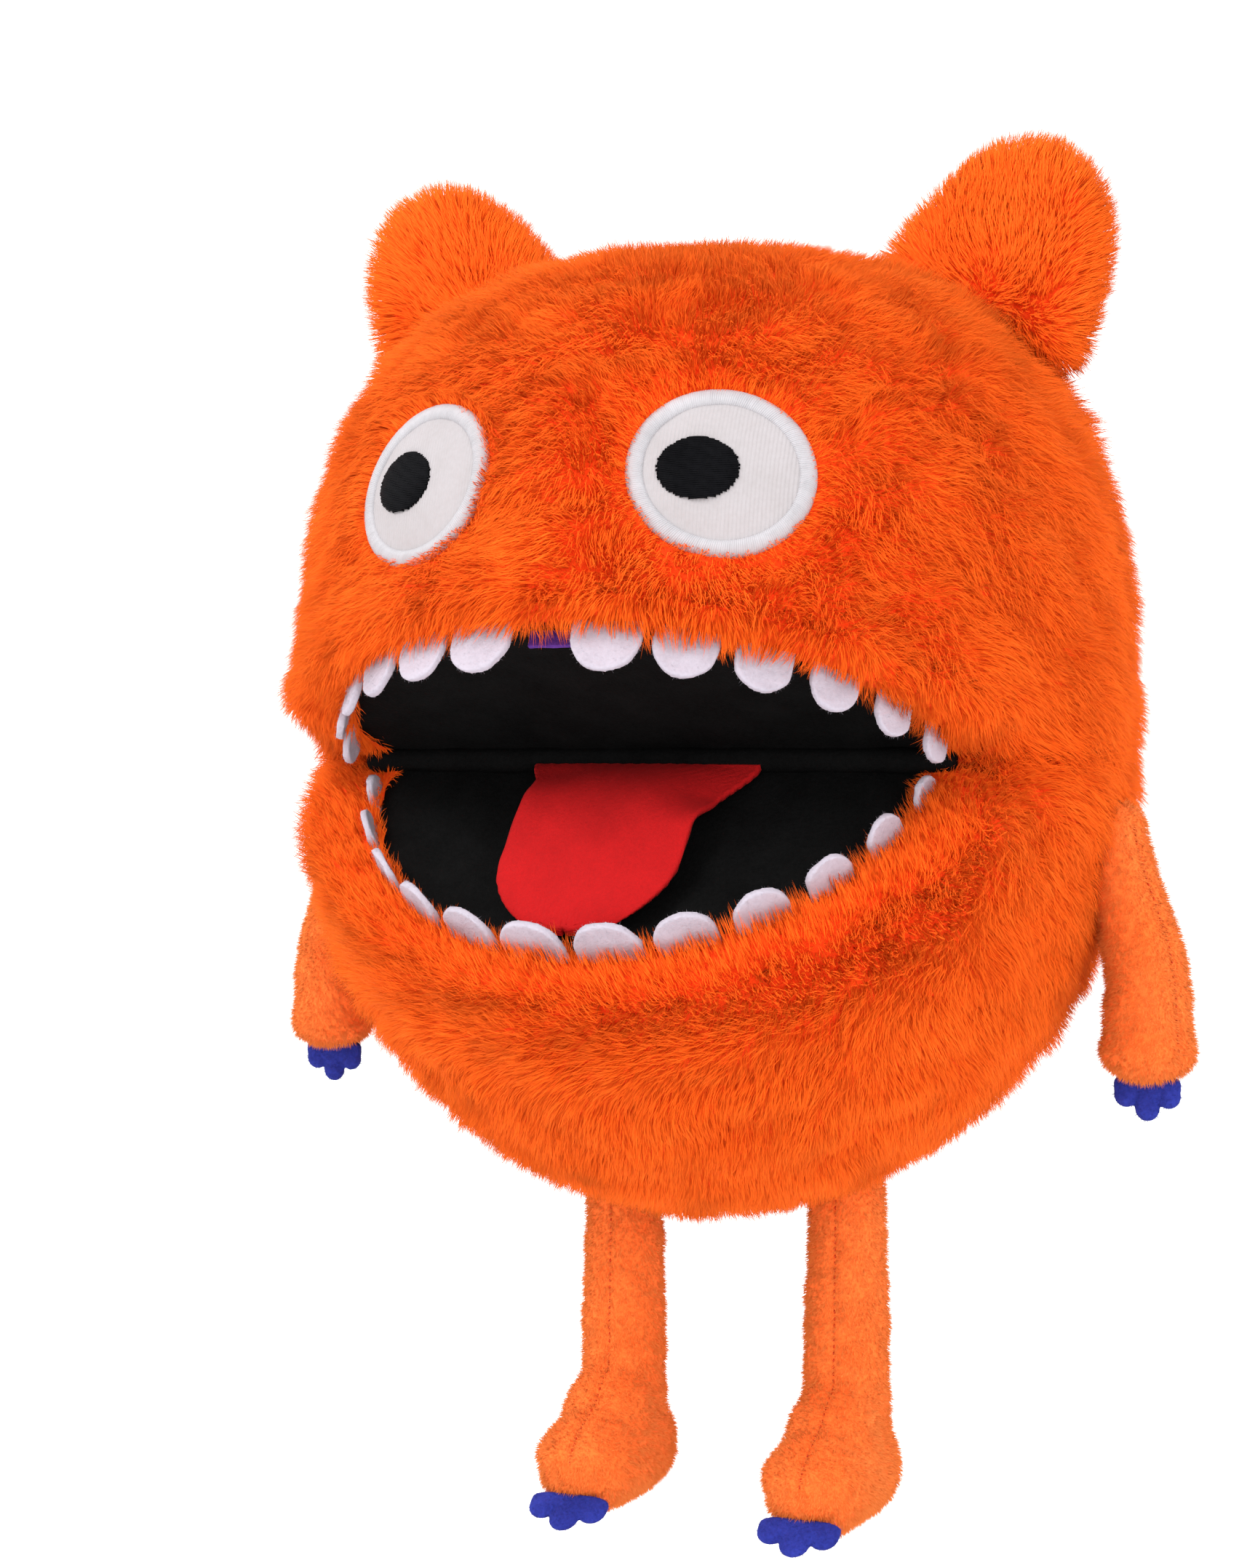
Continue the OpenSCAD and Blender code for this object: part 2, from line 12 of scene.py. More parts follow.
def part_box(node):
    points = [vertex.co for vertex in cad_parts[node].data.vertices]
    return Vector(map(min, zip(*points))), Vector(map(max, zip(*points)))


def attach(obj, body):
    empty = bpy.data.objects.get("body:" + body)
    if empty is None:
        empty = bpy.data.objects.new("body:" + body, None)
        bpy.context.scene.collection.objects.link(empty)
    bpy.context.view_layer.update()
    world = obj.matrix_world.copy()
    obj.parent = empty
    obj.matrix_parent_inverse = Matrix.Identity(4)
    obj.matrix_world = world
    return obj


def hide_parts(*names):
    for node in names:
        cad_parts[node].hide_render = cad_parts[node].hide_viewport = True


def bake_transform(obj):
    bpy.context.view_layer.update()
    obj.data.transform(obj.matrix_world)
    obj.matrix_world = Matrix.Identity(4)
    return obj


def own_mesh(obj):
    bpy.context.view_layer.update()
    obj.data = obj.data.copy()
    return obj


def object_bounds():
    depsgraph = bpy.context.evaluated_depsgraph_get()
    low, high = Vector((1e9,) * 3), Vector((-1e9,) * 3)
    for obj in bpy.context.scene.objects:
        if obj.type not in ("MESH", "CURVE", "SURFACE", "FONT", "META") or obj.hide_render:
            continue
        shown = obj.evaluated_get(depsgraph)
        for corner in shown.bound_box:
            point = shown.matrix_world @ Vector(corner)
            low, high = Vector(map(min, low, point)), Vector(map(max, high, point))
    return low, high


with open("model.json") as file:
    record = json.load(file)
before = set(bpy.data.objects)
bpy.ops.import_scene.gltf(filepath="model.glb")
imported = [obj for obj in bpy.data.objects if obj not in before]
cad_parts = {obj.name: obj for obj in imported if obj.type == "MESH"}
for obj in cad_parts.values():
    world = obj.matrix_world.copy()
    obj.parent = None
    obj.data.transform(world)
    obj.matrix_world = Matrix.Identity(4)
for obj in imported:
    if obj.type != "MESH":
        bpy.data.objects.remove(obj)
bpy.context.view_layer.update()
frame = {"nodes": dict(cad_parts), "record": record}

# ---------------------------------------------------------------- frame
# Shapes are worked out in millimetres round the ball's centre, at the height of the mouth fold.
JOINT = {j["name"]: Vector(j["pos_m"]) for j in frame["record"]["behaviour"]["joints"]}
FOLD = JOINT["head_tilt"]
CENTRE = np.array([0, JOINT["arm_lift_left"].y, FOLD.z])
FOLD_FWD = (CENTRE[1] - FOLD.y) * 1000
BALL_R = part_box("cheek_left")[1].x * 1000
DOME_H = (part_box("brow_gusset")[1].z - FOLD.z) * 1000
BELLY_H = (FOLD.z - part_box("cheek_left")[0].z) * 1000
DOME_N, BELLY_N = 2.9, 2.0
SEAM_Y = 8.0                  # ring seam behind the ball's centre
UPPER, LOWER = math.radians(26), math.radians(45)    # the palates' angles from level
ROW_STEP, LIP_INSET, CORNER_INSET = 4.0, 1.5, 16.0
PALATE_W = math.sqrt(BALL_R ** 2 - FOLD_FWD ** 2) - CORNER_INSET
PALATE_LEN = (BALL_R - LIP_INSET - FOLD_FWD) / math.cos(UPPER)
SKIN_IN = 0.6                 # the fur's backing lies this far inside the CAD surface
EYE_AZ, EYE_Z, EYE_TILT = 23.0, 59.0, 12.0
EYE_W, EYE_H, BORDER = 39.0, 36.0, 3.2
EYE_CURVE = 105               # radius of an eye's face
PUPIL_W, PUPIL_H, GAZE, PUPIL_UP = 17.0, 13.4, 4.8, 0.5    # both pupils look to the puppet's right


def to_row(points):
    """Ball millimetres to metres in the row frame."""
    return np.asarray(points, float) / 1000 + CENTRE


def to_ball(points):
    return (np.asarray(points, float) - CENTRE) * 1000


def unit(v):
    return v / np.maximum(np.linalg.norm(v, axis=-1, keepdims=True), 1e-9)


def ball_r(z, inset=0.0):
    """Radius of the ball at a height."""
    r, up, down = BALL_R - inset, DOME_H - inset, BELLY_H - inset
    z = np.asarray(z, float)
    top = r * np.clip(1 - np.clip(z / up, 0, 1) ** DOME_N, 0, 1) ** (1 / DOME_N)
    low = r * np.clip(1 - np.clip(-z / down, 0, 1) ** BELLY_N, 0, 1) ** (1 / BELLY_N)
    return np.where(z > 0, top, low)


def palate(x, s, h, lower=False):
    """A point by its place across and along a palate, and its distance away from the mouth."""
    a, d = (LOWER, -1) if lower else (UPPER, 1)
    x, s, h = np.broadcast_arrays(*(np.asarray(v, float) for v in (x, s, h)))
    y = -FOLD_FWD - s * math.cos(a) + h * math.sin(a)
    return np.stack([x, y, d * (s * math.sin(a) + h * math.cos(a))], -1)


def above_palate(p, lower=False):
    """Distance of points from the radial plane of a palate, away from the mouth."""
    a, d = (LOWER, -1) if lower else (UPPER, 1)
    return (p[:, 1] + FOLD_FWD) * math.sin(a) + d * p[:, 2] * math.cos(a)


def waves(p, size, seed, parts=7):
    """Smooth noise from a few waves of about this size, near -1 to 1."""
    rng = np.random.default_rng(seed)
    k = unit(rng.normal(size=(parts, 3))) * (2 * math.pi / size) * rng.uniform(0.6, 1.5, (parts, 1))
    return np.sin(p @ k.T + rng.uniform(0, 6.28, parts)).sum(1) / math.sqrt(parts)


def waves3(p, size, seed):
    return np.stack([waves(p, size, seed + i) for i in range(3)], 1)


def smoothstep(x, a, b):
    t = np.clip((x - a) / (b - a), 0, 1)
    return t * t * (3 - 2 * t)


# ---------------------------------------------------------------- materials
def add(nt, kind, links=None, **values):
    """A node, its inputs linked or set by name or number."""
    n = nt.nodes.new("ShaderNode" + kind)
    for key, v in values.items():
        if hasattr(n, key):
            setattr(n, key, v)
        else:
            n.inputs[key.replace("_", " ")].default_value = v
    for key, out in (links or {}).items():
        nt.links.new(out, n.inputs[key])
    return n


def mixed(nt, fac, a, b):
    n = nt.nodes.new("ShaderNodeMix")
    n.data_type = "RGBA"
    for socket, v in ((n.inputs[0], fac), (n.inputs[6], a), (n.inputs[7], b)):
        if isinstance(v, bpy.types.NodeSocket):
            nt.links.new(v, socket)
        else:
            socket.default_value = (*v, 1) if isinstance(v, tuple) else v
    return n.outputs[2]


def ramp(nt, fac, low, high):
    """Maps low..high to 0..1."""
    n = add(nt, "MapRange", {"Value": fac}, From_Min=low, From_Max=high)
    return n.outputs[0]


def noise(nt, scale, detail=2.0, rough=0.5, coords=None):
    links = {"Vector": coords} if coords else {}
    return add(nt, "TexNoise", links, Scale=scale, Detail=detail, Roughness=rough).outputs["Fac"]


def material(name, **sockets):
    m = bpy.data.materials.new(name)
    m.use_nodes = True
    nt = m.node_tree
    nt.nodes.clear()
    out = nt.nodes.new("ShaderNodeOutputMaterial")
    shader = add(nt, "BsdfPrincipled", **sockets)
    nt.links.new(shader.outputs[0], out.inputs[0])
    place = nt.nodes.new("ShaderNodeTexCoord").outputs["Object"]
    return m, nt, shader, place


def bump(nt, shader, height, strength, distance):
    b = add(nt, "Bump", {"Height": height}, Strength=strength, Distance=distance)
    nt.links.new(b.outputs[0], shader.inputs["Normal"])


def fur_material(name, root, mid, tip, size=55):
    """Fibres with painted shade at the root and painted light at the tip, with soft patches and a tint of
    their own.
    """
    m, nt, sh, place = material(name, Roughness=0.8, Sheen_Weight=0.3, Sheen_Roughness=0.6,
                                Specular_IOR_Level=0.12)
    sh.inputs["Sheen Tint"].default_value = (1.0, 0.22, 0.03, 1)
    along = add(nt, "Attribute", attribute_name="along").outputs["Fac"]
    tint = add(nt, "Attribute", attribute_name="tint").outputs["Fac"]
    # painted shade and light: along each fibre the colour runs from the darker root colour to the lighter
    # tip colour
    body = mixed(nt, ramp(nt, along, 0.0, 0.6), root, mid)
    ends = mixed(nt, ramp(nt, along, 0.5, 1.15), body, tip)
    patch = ramp(nt, noise(nt, size, 3.0, 0.6, place), 0.35, 0.7)
    soft = mixed(nt, patch, tuple(c * 0.86 for c in mid), tip)
    both = mixed(nt, 0.22, ends, soft)
    dull = mixed(nt, tint, (0.96, 0.91, 0.90), (1.0, 1.0, 1.0))
    n = nt.nodes.new("ShaderNodeMix")
    n.data_type, n.blend_type = "RGBA", "MULTIPLY"
    n.inputs[0].default_value = 1.0
    nt.links.new(both, n.inputs[6])
    nt.links.new(dull, n.inputs[7])
    nt.links.new(n.outputs[2], sh.inputs["Base Color"])
    return m


def cloth_material(name, dark, light, grain, depth, rough=0.9, sheen=0.1, weave=None, patch=90,
                   gloss=0.2):
    """Matted or woven cloth: patches of two colours, a fine grain, and a weave if it has one."""
    m, nt, sh, place = material(name, Sheen_Weight=sheen, Sheen_Roughness=0.4, Specular_IOR_Level=gloss)
    sh.inputs["Sheen Tint"].default_value = (*light, 1)
    patches = noise(nt, patch, 3.0, 0.6, place)
    fine = noise(nt, grain, 3.0, 0.7, place)
    both = add(nt, "Math", {0: patches, 1: fine}, operation="ADD").outputs[0]
    nt.links.new(mixed(nt, ramp(nt, both, 0.7, 1.3), dark, light), sh.inputs["Base Color"])
    spread = add(nt, "MapRange", {"Value": fine}, To_Min=rough - 0.08, To_Max=min(rough + 0.08, 1))
    nt.links.new(spread.outputs[0], sh.inputs["Roughness"])
    height = fine
    if weave:
        bands = add(nt, "TexWave", {"Vector": place}, bands_direction=weave[0], Scale=weave[1],
                    Distortion=0.6, Detail=1.0).outputs["Fac"]
        height = add(nt, "Math", {0: bands, 1: fine}, operation="ADD").outputs[0]
    bump(nt, sh, height, 0.7, depth)
    return m


# Fur colours, root to middle to tip: the darker roots are painted shade in the pile, the lighter tips
# painted light.
FUR = fur_material("fur_fibres", (0.92, 0.060, 0.002), (0.97, 0.102, 0.003), (1.0, 0.16, 0.012))
EAR_FUR = fur_material("ear_fibres", (0.92, 0.070, 0.003), (0.97, 0.108, 0.003), (1.0, 0.165, 0.014))
PELT = cloth_material("fur_backing", (0.86, 0.05, 0.003), (0.92, 0.075, 0.005), 900, 0.0006)
# The velboa pile's colours run the same way: a darker root as painted shade, a lighter tip as painted
# light.
PILE = fur_material("velboa_pile", (0.84, 0.125, 0.016), (0.90, 0.19, 0.034), (0.95, 0.28, 0.075), 45)
VELBOA = cloth_material("velboa", (0.84, 0.12, 0.016), (0.90, 0.18, 0.032), 1400, 0.0002)
BLACK = cloth_material("black_felt", (0.002, 0.002, 0.002), (0.005, 0.005, 0.005), 1100, 0.0004,
                       sheen=0.003, gloss=0.05)
WHITE = cloth_material("white_felt", (0.36, 0.325, 0.375), (0.43, 0.39, 0.45), 1200, 0.0003)
BLUE = cloth_material("blue_felt", (0.008, 0.012, 0.14), (0.02, 0.03, 0.26), 1200, 0.0004)
PURPLE = cloth_material("purple_felt", (0.06, 0.015, 0.15), (0.12, 0.035, 0.27), 1200, 0.0004)
RED = cloth_material("red_fleece", (0.33, 0.002, 0.003), (0.43, 0.004, 0.005), 1500, 0.0003)
SLEEVE = cloth_material("sleeve_cloth", (0.006, 0.006, 0.007), (0.025, 0.025, 0.028), 700, 0.0003,
                        rough=0.8, weave=("X", 260))
SATIN = cloth_material("white_satin", (0.335, 0.325, 0.34), (0.40, 0.385, 0.405), 500, 0.0001, rough=0.42,
                       gloss=0.35)
EYE = cloth_material("eye_cloth", (0.325, 0.30, 0.305), (0.36, 0.335, 0.345), 900, 0.0001, rough=0.7,
                     weave=("X", 420))
THREAD = cloth_material("black_thread", (0.001, 0.001, 0.0015), (0.004, 0.004, 0.005), 800, 0.0001,
                        rough=0.6, sheen=0.0, gloss=0.04)
SEWING = cloth_material("orange_thread", (0.45, 0.03, 0.004), (0.62, 0.06, 0.01), 900, 0.0001, rough=0.5)
CARD = cloth_material("card", (0.30, 0.20, 0.11), (0.42, 0.30, 0.18), 500, 0.0002, rough=0.85, sheen=0.0)


# ---------------------------------------------------------------- meshes
def mesh_object(name, verts, faces, mat, ball=True):
    """An object from ball millimetres, with its faces as lists or arrays of vertex numbers."""
    me = bpy.data.meshes.new(name)
    me.from_pydata(to_row(verts) if ball else verts, [], [list(map(int, f)) for f in faces])
    me.validate()
    me.shade_smooth()
    me.materials.append(mat)
    ob = bpy.data.objects.new(name, me)
    bpy.context.scene.collection.objects.link(ob)
    return ob


def grid_faces(rows, cols, wrap=False):
    i, j = np.meshgrid(np.arange(rows - 1), np.arange(cols if wrap else cols - 1), indexing="ij")
    k = (j + 1) % cols
    return np.stack([i * cols + j, i * cols + k, (i + 1) * cols + k, (i + 1) * cols + j], -1).reshape(-1, 4)


def arrays(me):
    v = np.empty(len(me.vertices) * 3)
    me.vertices.foreach_get("co", v)
    me.calc_loop_triangles()
    t = np.empty(len(me.loop_triangles) * 3, np.int32)
    me.loop_triangles.foreach_get("vertices", t)
    n = np.empty(len(me.vertices) * 3)
    me.vertices.foreach_get("normal", n)
    return v.reshape(-1, 3), t.reshape(-1, 3), n.reshape(-1, 3)


def modify(ob, kind, **values):
    mod = ob.modifiers.new(kind.lower(), kind)
    for key, v in values.items():
        setattr(mod, key, v)


def evaluated(ob, mat=None):
    """Applies the object's modifiers."""
    dg = bpy.context.evaluated_depsgraph_get()
    me = bpy.data.meshes.new_from_object(ob.evaluated_get(dg))
    old, ob.data = ob.data, me
    ob.modifiers.clear()
    bpy.data.meshes.remove(old)
    if mat:
        me.materials.clear()
        me.materials.append(mat)
    me.shade_smooth()
    return ob


def fused(ob, mat, voxel, smooth):
    """Remeshes an object's closed parts into one skin."""
    modify(ob, "WELD", merge_threshold=1e-6)
    modify(ob, "REMESH", mode="VOXEL", voxel_size=voxel / 1000)
    if smooth:
        modify(ob, "SMOOTH", factor=0.5, iterations=smooth)
    return evaluated(ob, mat)


def from_nodes(name, nodes, mat, voxel, grow=0.0, smooth=0, shape=None, extra=()):
    """A rounded copy of CAD solids: remeshed, smoothed, grown, then moved by shape(points, normals)."""
    verts, faces = [to_row(v) for v, _ in extra], [np.asarray(f) for _, f in extra]
    for node in nodes:
        v, t, _ = arrays(frame["nodes"][node].data)
        faces.append(t + sum(map(len, verts)))
        verts.append(v)
    ob = mesh_object(name, np.concatenate(verts), [q for f in faces for q in f], mat, ball=False)
    fused(ob, mat, voxel, smooth)
    v, _, n = arrays(ob.data)
    p = to_ball(v) + n * grow
    if shape:
        p = shape(p, n)
    ob.data.vertices.foreach_set("co", to_row(p).ravel())
    ob.data.update()
    return ob


def sample(ob, per_mm2, rng, weight=None):
    """Points spread evenly over an object's surface, and the normals there, in ball millimetres."""
    v, t, n = arrays(ob.data)
    v = to_ball(v)
    a, b, c = v[t[:, 0]], v[t[:, 1]], v[t[:, 2]]
    area = np.linalg.norm(np.cross(b - a, c - a), axis=1) / 2
    if weight is not None:
        area = area * weight((a + b + c) / 3)
    count = int(area.sum() * per_mm2)
    pick = np.searchsorted(np.cumsum(area), rng.random(count) * area.sum())
    pick = np.minimum(pick, len(area) - 1)
    u = rng.random((count, 2))
    u[u.sum(1) > 1] = 1 - u[u.sum(1) > 1]
    w = np.column_stack([1 - u.sum(1), u])[:, :, None]
    return (v[t[pick]] * w).sum(1), unit((n[t[pick]] * w).sum(1))


# A fibre is a closed three-sided spike, with or without a ring half way.
LONG = ([0, 2, 1, 0, 1, 4, 3, 1, 2, 5, 4, 2, 0, 3, 5, 3, 4, 6, 4, 5, 6, 5, 3, 6], [3, 4, 4, 4, 3, 3, 3], 7)
SHORT = ([0, 2, 1, 0, 1, 3, 1, 2, 3, 2, 0, 3], [3, 3, 3, 3], 4)


def fibres(name, mat, root, tip, width, tint, normal, mid=None):
    """One mesh of many fibres, lit as their pile. Each has its own square on the baking map."""
    loops, sizes, per = LONG if mid is not None else SHORT
    n = len(root)
    way = unit((mid if mid is not None else tip) - root)
    side = unit(np.cross(way, way[:, [1, 2, 0]] + (0.3, 0.1, 0.7)))
    other = np.cross(way, side)
    turn = np.random.default_rng(n).random(n) * 6.28
    rings = []
    for centre, w in [(root, width)] + ([(mid, width * 0.85)] if mid is not None else []):
        for k in range(3):
            a = (turn + k * 2.0944)[:, None]
            rings.append(centre + (np.cos(a) * side + np.sin(a) * other) * (w[:, None] / 2))
    verts = np.stack(rings + [tip], 1).reshape(-1, 3)
    along = [0.0] * 3 + ([0.55] * 3 if mid is not None else []) + [1.0]
    me = bpy.data.meshes.new(name)
    me.vertices.add(n * per)
    me.vertices.foreach_set("co", to_row(verts).astype(np.float32).ravel())
    index = (np.array(loops)[None] + np.arange(n)[:, None] * per).ravel()
    me.loops.add(len(index))
    me.loops.foreach_set("vertex_index", index.astype(np.int32))
    starts = np.concatenate([[0], np.cumsum(sizes)[:-1]])[None] + np.arange(n)[:, None] * len(loops)
    me.polygons.add(n * len(sizes))
    me.polygons.foreach_set("loop_start", starts.ravel().astype(np.int32))
    me.polygons.foreach_set("use_smooth", np.ones(n * len(sizes), bool))
    me.update(calc_edges=True)
    for key, values in (("along", np.tile(along, n)), ("tint", np.repeat(tint, per))):
        me.attributes.new(key, "FLOAT", "POINT").data.foreach_set("value", values.astype(np.float32))
    lit = np.repeat(unit(normal + way * 0.22), per, 0)
    me.attributes.new("custom_normal", "FLOAT_VECTOR", "POINT").data.foreach_set(
        "vector", lit.astype(np.float32).ravel())
    cap = [(0.2, 0.1), (0.5, 0.16), (0.8, 0.1)]
    if mid is not None:
        one = cap + [(0.2, 0.15), (0.8, 0.15), (0.8, 0.55), (0.2, 0.55)] * 3
        one += [(0.2, 0.55), (0.8, 0.55), (0.5, 0.92)] * 3
    else:
        one = cap + [(0.2, 0.15), (0.8, 0.15), (0.5, 0.9)] * 3
    across = math.ceil(math.sqrt(n))
    cell = np.stack([np.arange(n) % across, np.arange(n) // across], 1)
    uv = (np.array(one)[None] + cell[:, None]) / across
    me.uv_layers.new(name="OFBake").data.foreach_set("uv", uv.astype(np.float32).ravel())
    me.materials.append(mat)
    ob = bpy.data.objects.new(name, me)
    bpy.context.scene.collection.objects.link(ob)
    return ob


def tree_of(points):
    tree = kdtree.KDTree(len(points))
    for i, q in enumerate(points):
        tree.insert(q, i)
    tree.balance()
    return tree


def lay_fur(p, n, comb, length, rng, width=0.36, clump=3.2, pull=0.45, lift=(24, 50)):
    """Roots, middles and tips of fibres that lean along comb and gather in tufts."""
    flat = comb - (comb * n).sum(1, keepdims=True) * n
    way = unit(flat)
    lean = np.clip(np.linalg.norm(flat, axis=1), 0, 1)
    size = length * rng.uniform(0.82, 1.15, len(p))
    a, b = (np.radians(x * lean + rng.normal(0, 9, len(p)))[:, None] for x in lift)
    mid = p + (n * np.cos(a) + way * np.sin(a)) * size[:, None] * 0.5
    tip = mid + (n * np.cos(b) + way * np.sin(b)) * size[:, None] * 0.5
    tip += rng.normal(0, 0.45, tip.shape)
    if clump:
        lead = rng.choice(len(p), max(1, int(len(p) / (clump * clump * 1.3))), replace=False)
        tree = tree_of(p[lead])
        near = lead[[tree.find(q)[1] for q in p]]
        off = tip[near] - tip
        close = np.exp(-((np.linalg.norm(p - p[near], axis=1) / (1.6 * clump)) ** 2))
        share = (pull * close * rng.uniform(0.5, 1.2, len(p)))[:, None]
        mid += off * share * 0.35
        tip += off * share
    return p - n * 0.6, mid, tip, width * rng.uniform(0.8, 1.25, len(p)), n


def fur_pieces(name, mat, count, laid, tint):
    """Splits laid fibres at random into count pieces, so that each covers the whole area."""
    root, mid, tip, width, normal = laid
    return [fibres(f"{name}_{k + 1}", mat, root[k::count], tip[k::count], width[k::count], tint[k::count],
                   normal[k::count], None if mid is None else mid[k::count]) for k in range(count)]


def fuzz(name, ob, mat, per_mm2, length, width, seed, comb=(0, 0, 0), lean=0.5, stray=0.6, weight=None):
    """Short fibres that stand on a cloth, leaning along comb."""
    rng = np.random.default_rng(seed)
    p, n = sample(ob, per_mm2, rng, weight)
    way = np.asarray(comb, float) * lean + rng.normal(0, stray, p.shape)
    tip = p + unit(n + way) * length * rng.uniform(0.6, 1.25, (len(p), 1))
    return fibres(name, mat, p - n * 0.2, tip, np.full(len(p), width), rng.random(len(p)), n)


# ---------------------------------------------------------------- camera, floor and lights
AZIMUTH, DISTANCE, FOCAL_PX, TALL = math.radians(22.4), 0.70, 4109.0, 2156
ASIDE, RAISED = 122.5 / FOCAL_PX, 33 / FOCAL_PX      # the ball's centre is right of and above the middle
back = Vector((math.sin(AZIMUTH), -math.cos(AZIMUTH), 0))
right = Vector((math.cos(AZIMUTH), math.sin(AZIMUTH), 0))
cam_data = bpy.data.cameras.new("camera")
cam_data.sensor_width = 36
cam_data.lens = 36 * FOCAL_PX / TALL
camera = bpy.data.objects.new("camera", cam_data)
camera.location = Vector(CENTRE) + back * DISTANCE
camera.rotation_mode = "QUATERNION"
camera.rotation_quaternion = (-back - right * ASIDE - Vector((0, 0, RAISED))).to_track_quat("-Z", "Y")
bpy.context.scene.collection.objects.link(camera)
bpy.context.scene.camera = camera
bpy.context.scene.view_settings.view_transform = "Standard"

world = bpy.data.worlds.new("studio")
bpy.context.scene.world = world
world.use_nodes = True
world.node_tree.nodes["Background"].inputs[0].default_value = (1, 1, 1, 1)
world.node_tree.nodes["Background"].inputs[1].default_value = 1.5


def softbox(name, place, size, power):
    """An area light that faces the ball's centre from place, in metres from it."""
    data = bpy.data.lights.new(name, "AREA")
    data.shape, data.size, data.energy = "DISK", size, power
    lamp = bpy.data.objects.new(name, data)
    lamp.location = Vector(CENTRE) + Vector(place)
    lamp.rotation_mode = "QUATERNION"
    lamp.rotation_quaternion = Vector(place).to_track_quat("Z", "Y")
    bpy.context.scene.collection.objects.link(lamp)


softbox("key", (-0.7, -1.1, 1.1), 0.9, 19)
softbox("fill", (1.1, -0.9, 0.2), 1.1, 8)
softbox("rear", (0.3, 1.2, 0.9), 1.0, 6)

FLOOR_Z, FLOOR_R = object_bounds()[0].z - 0.045, 1.1     # a disc that fades out towards its edge
m, nt, sh, place = material("floor_paper", Roughness=0.9)
far = add(nt, "VectorMath", {0: place}, operation="LENGTH").outputs["Value"]
tone = mixed(nt, noise(nt, 300, 2.0, 0.5, place), (0.93, 0.93, 0.93), (0.96, 0.96, 0.96))
nt.links.new(tone, sh.inputs["Base Color"])
nt.links.new(ramp(nt, far, FLOOR_R, 0.35), sh.inputs["Alpha"])
ring = [(FLOOR_R * math.cos(a / 32 * math.pi), FLOOR_R * math.sin(a / 32 * math.pi), 0) for a in range(64)]
floor = mesh_object("floor", ring, [list(range(64))], m, ball=False)
floor.location.z = FLOOR_Z

# ---------------------------------------------------------------- the ball's fur backing
HOLE_R = 44.0       # where the back's fur ends, round the hand opening
drop = math.radians(25)
AXIS = np.array([0, math.cos(drop), -math.sin(drop)])
AXIS_AT = np.array([0, 0, -4.0])


def from_axis(p):
    """Distance of points from the sleeve's axis."""
    d = p - AXIS_AT
    return np.linalg.norm(d - (d @ AXIS)[:, None] * AXIS, axis=1)


def tufts(p):
    """Low relief of the backing, where the pile bunches."""
    lumps = 0.55 * waves(p, 13, 211) + 0.3 * waves(p, 6.5, 213)
    return p + unit(p) * lumps[:, None]


def bridge(p):
    """The stuffed bridge between the eyes."""
    near = np.exp(-(p[:, 0] / 13) ** 2 - ((p[:, 2] - 52) / 24) ** 2) * (p[:, 1] < 0)
    return p + unit(p * (1, 1, 0.3)) * (3.5 * near)[:, None]


def corner_dent(p):
    """Draws the surface in at the corners of the mouth, with a crease that runs back from them."""
    edge = math.sqrt(BALL_R ** 2 - FOLD_FWD ** 2)
    near = np.exp(-((np.abs(p[:, 0]) - edge) / 16) ** 2 - ((p[:, 1] + FOLD_FWD) / 13) ** 2
                  - (p[:, 2] / 7.5) ** 2)
    out = p.copy()
    out[:, 0] -= np.sign(p[:, 0]) * 11 * near
    return out


def ball_grid(rows=150, cols=300):
    t = np.linspace(-1, 1, rows)
    half = np.abs(np.sin(t * math.pi / 2))
    z = np.where(t > 0, half ** (2 / DOME_N) * (DOME_H - SKIN_IN),
                 -(half ** (2 / BELLY_N)) * (BELLY_H - SKIN_IN))
    r = np.maximum(ball_r(z, SKIN_IN), 0.4)
    a = np.arange(cols) * 2 * math.pi / cols
    x, y = np.outer(r, np.sin(a)), -np.outer(r, np.cos(a))
    v = np.stack([x, y, np.repeat(z[:, None], cols, 1)], -1).reshape(-1, 3)
    return v, grid_faces(rows, cols, wrap=True)


def cut_region(name, keep, planes):
    """The part of the ball's backing where keep(points) holds, with clean edges on the planes."""
    v, f = ball_grid()
    bm = bmesh.new()
    vs = [bm.verts.new(p) for p in v]
    for q in f:
        bm.faces.new([vs[i] for i in q])
    for at, normal in planes:
        bmesh.ops.bisect_plane(bm, geom=bm.verts[:] + bm.edges[:] + bm.faces[:],
                               plane_co=at, plane_no=normal, dist=1e-4)
    mids = np.array([f.calc_center_median() for f in bm.faces])
    ok = keep(mids)
    bmesh.ops.delete(bm, geom=[f for f, k in zip(bm.faces[:], ok) if not k], context="FACES")
    me = bpy.data.meshes.new(name)
    bm.to_mesh(me)
    bm.free()
    v, _, _ = arrays(me)
    faces = [list(p.vertices) for p in me.polygons]
    bpy.data.meshes.remove(me)
    return v, faces


LIP_CUT = 6.0       # the lip starts to roll in this far from the palate's plane


def lip_swell(p):
    """How far the backing stands out round the lips, which hold the teeth."""
    ahead = smoothstep(-p[:, 1], FOLD_FWD - 4, FOLD_FWD + 16)
    near = [np.exp(-(np.clip(above_palate(p, low) - LIP_CUT, 0, 99) / 9) ** 2) for low in (False, True)]
    facing = [above_palate(p, low) > -1 for low in (False, True)]
    return ahead * np.maximum(3.0 * near[0] * facing[0], 0.2 * near[1] * facing[1])


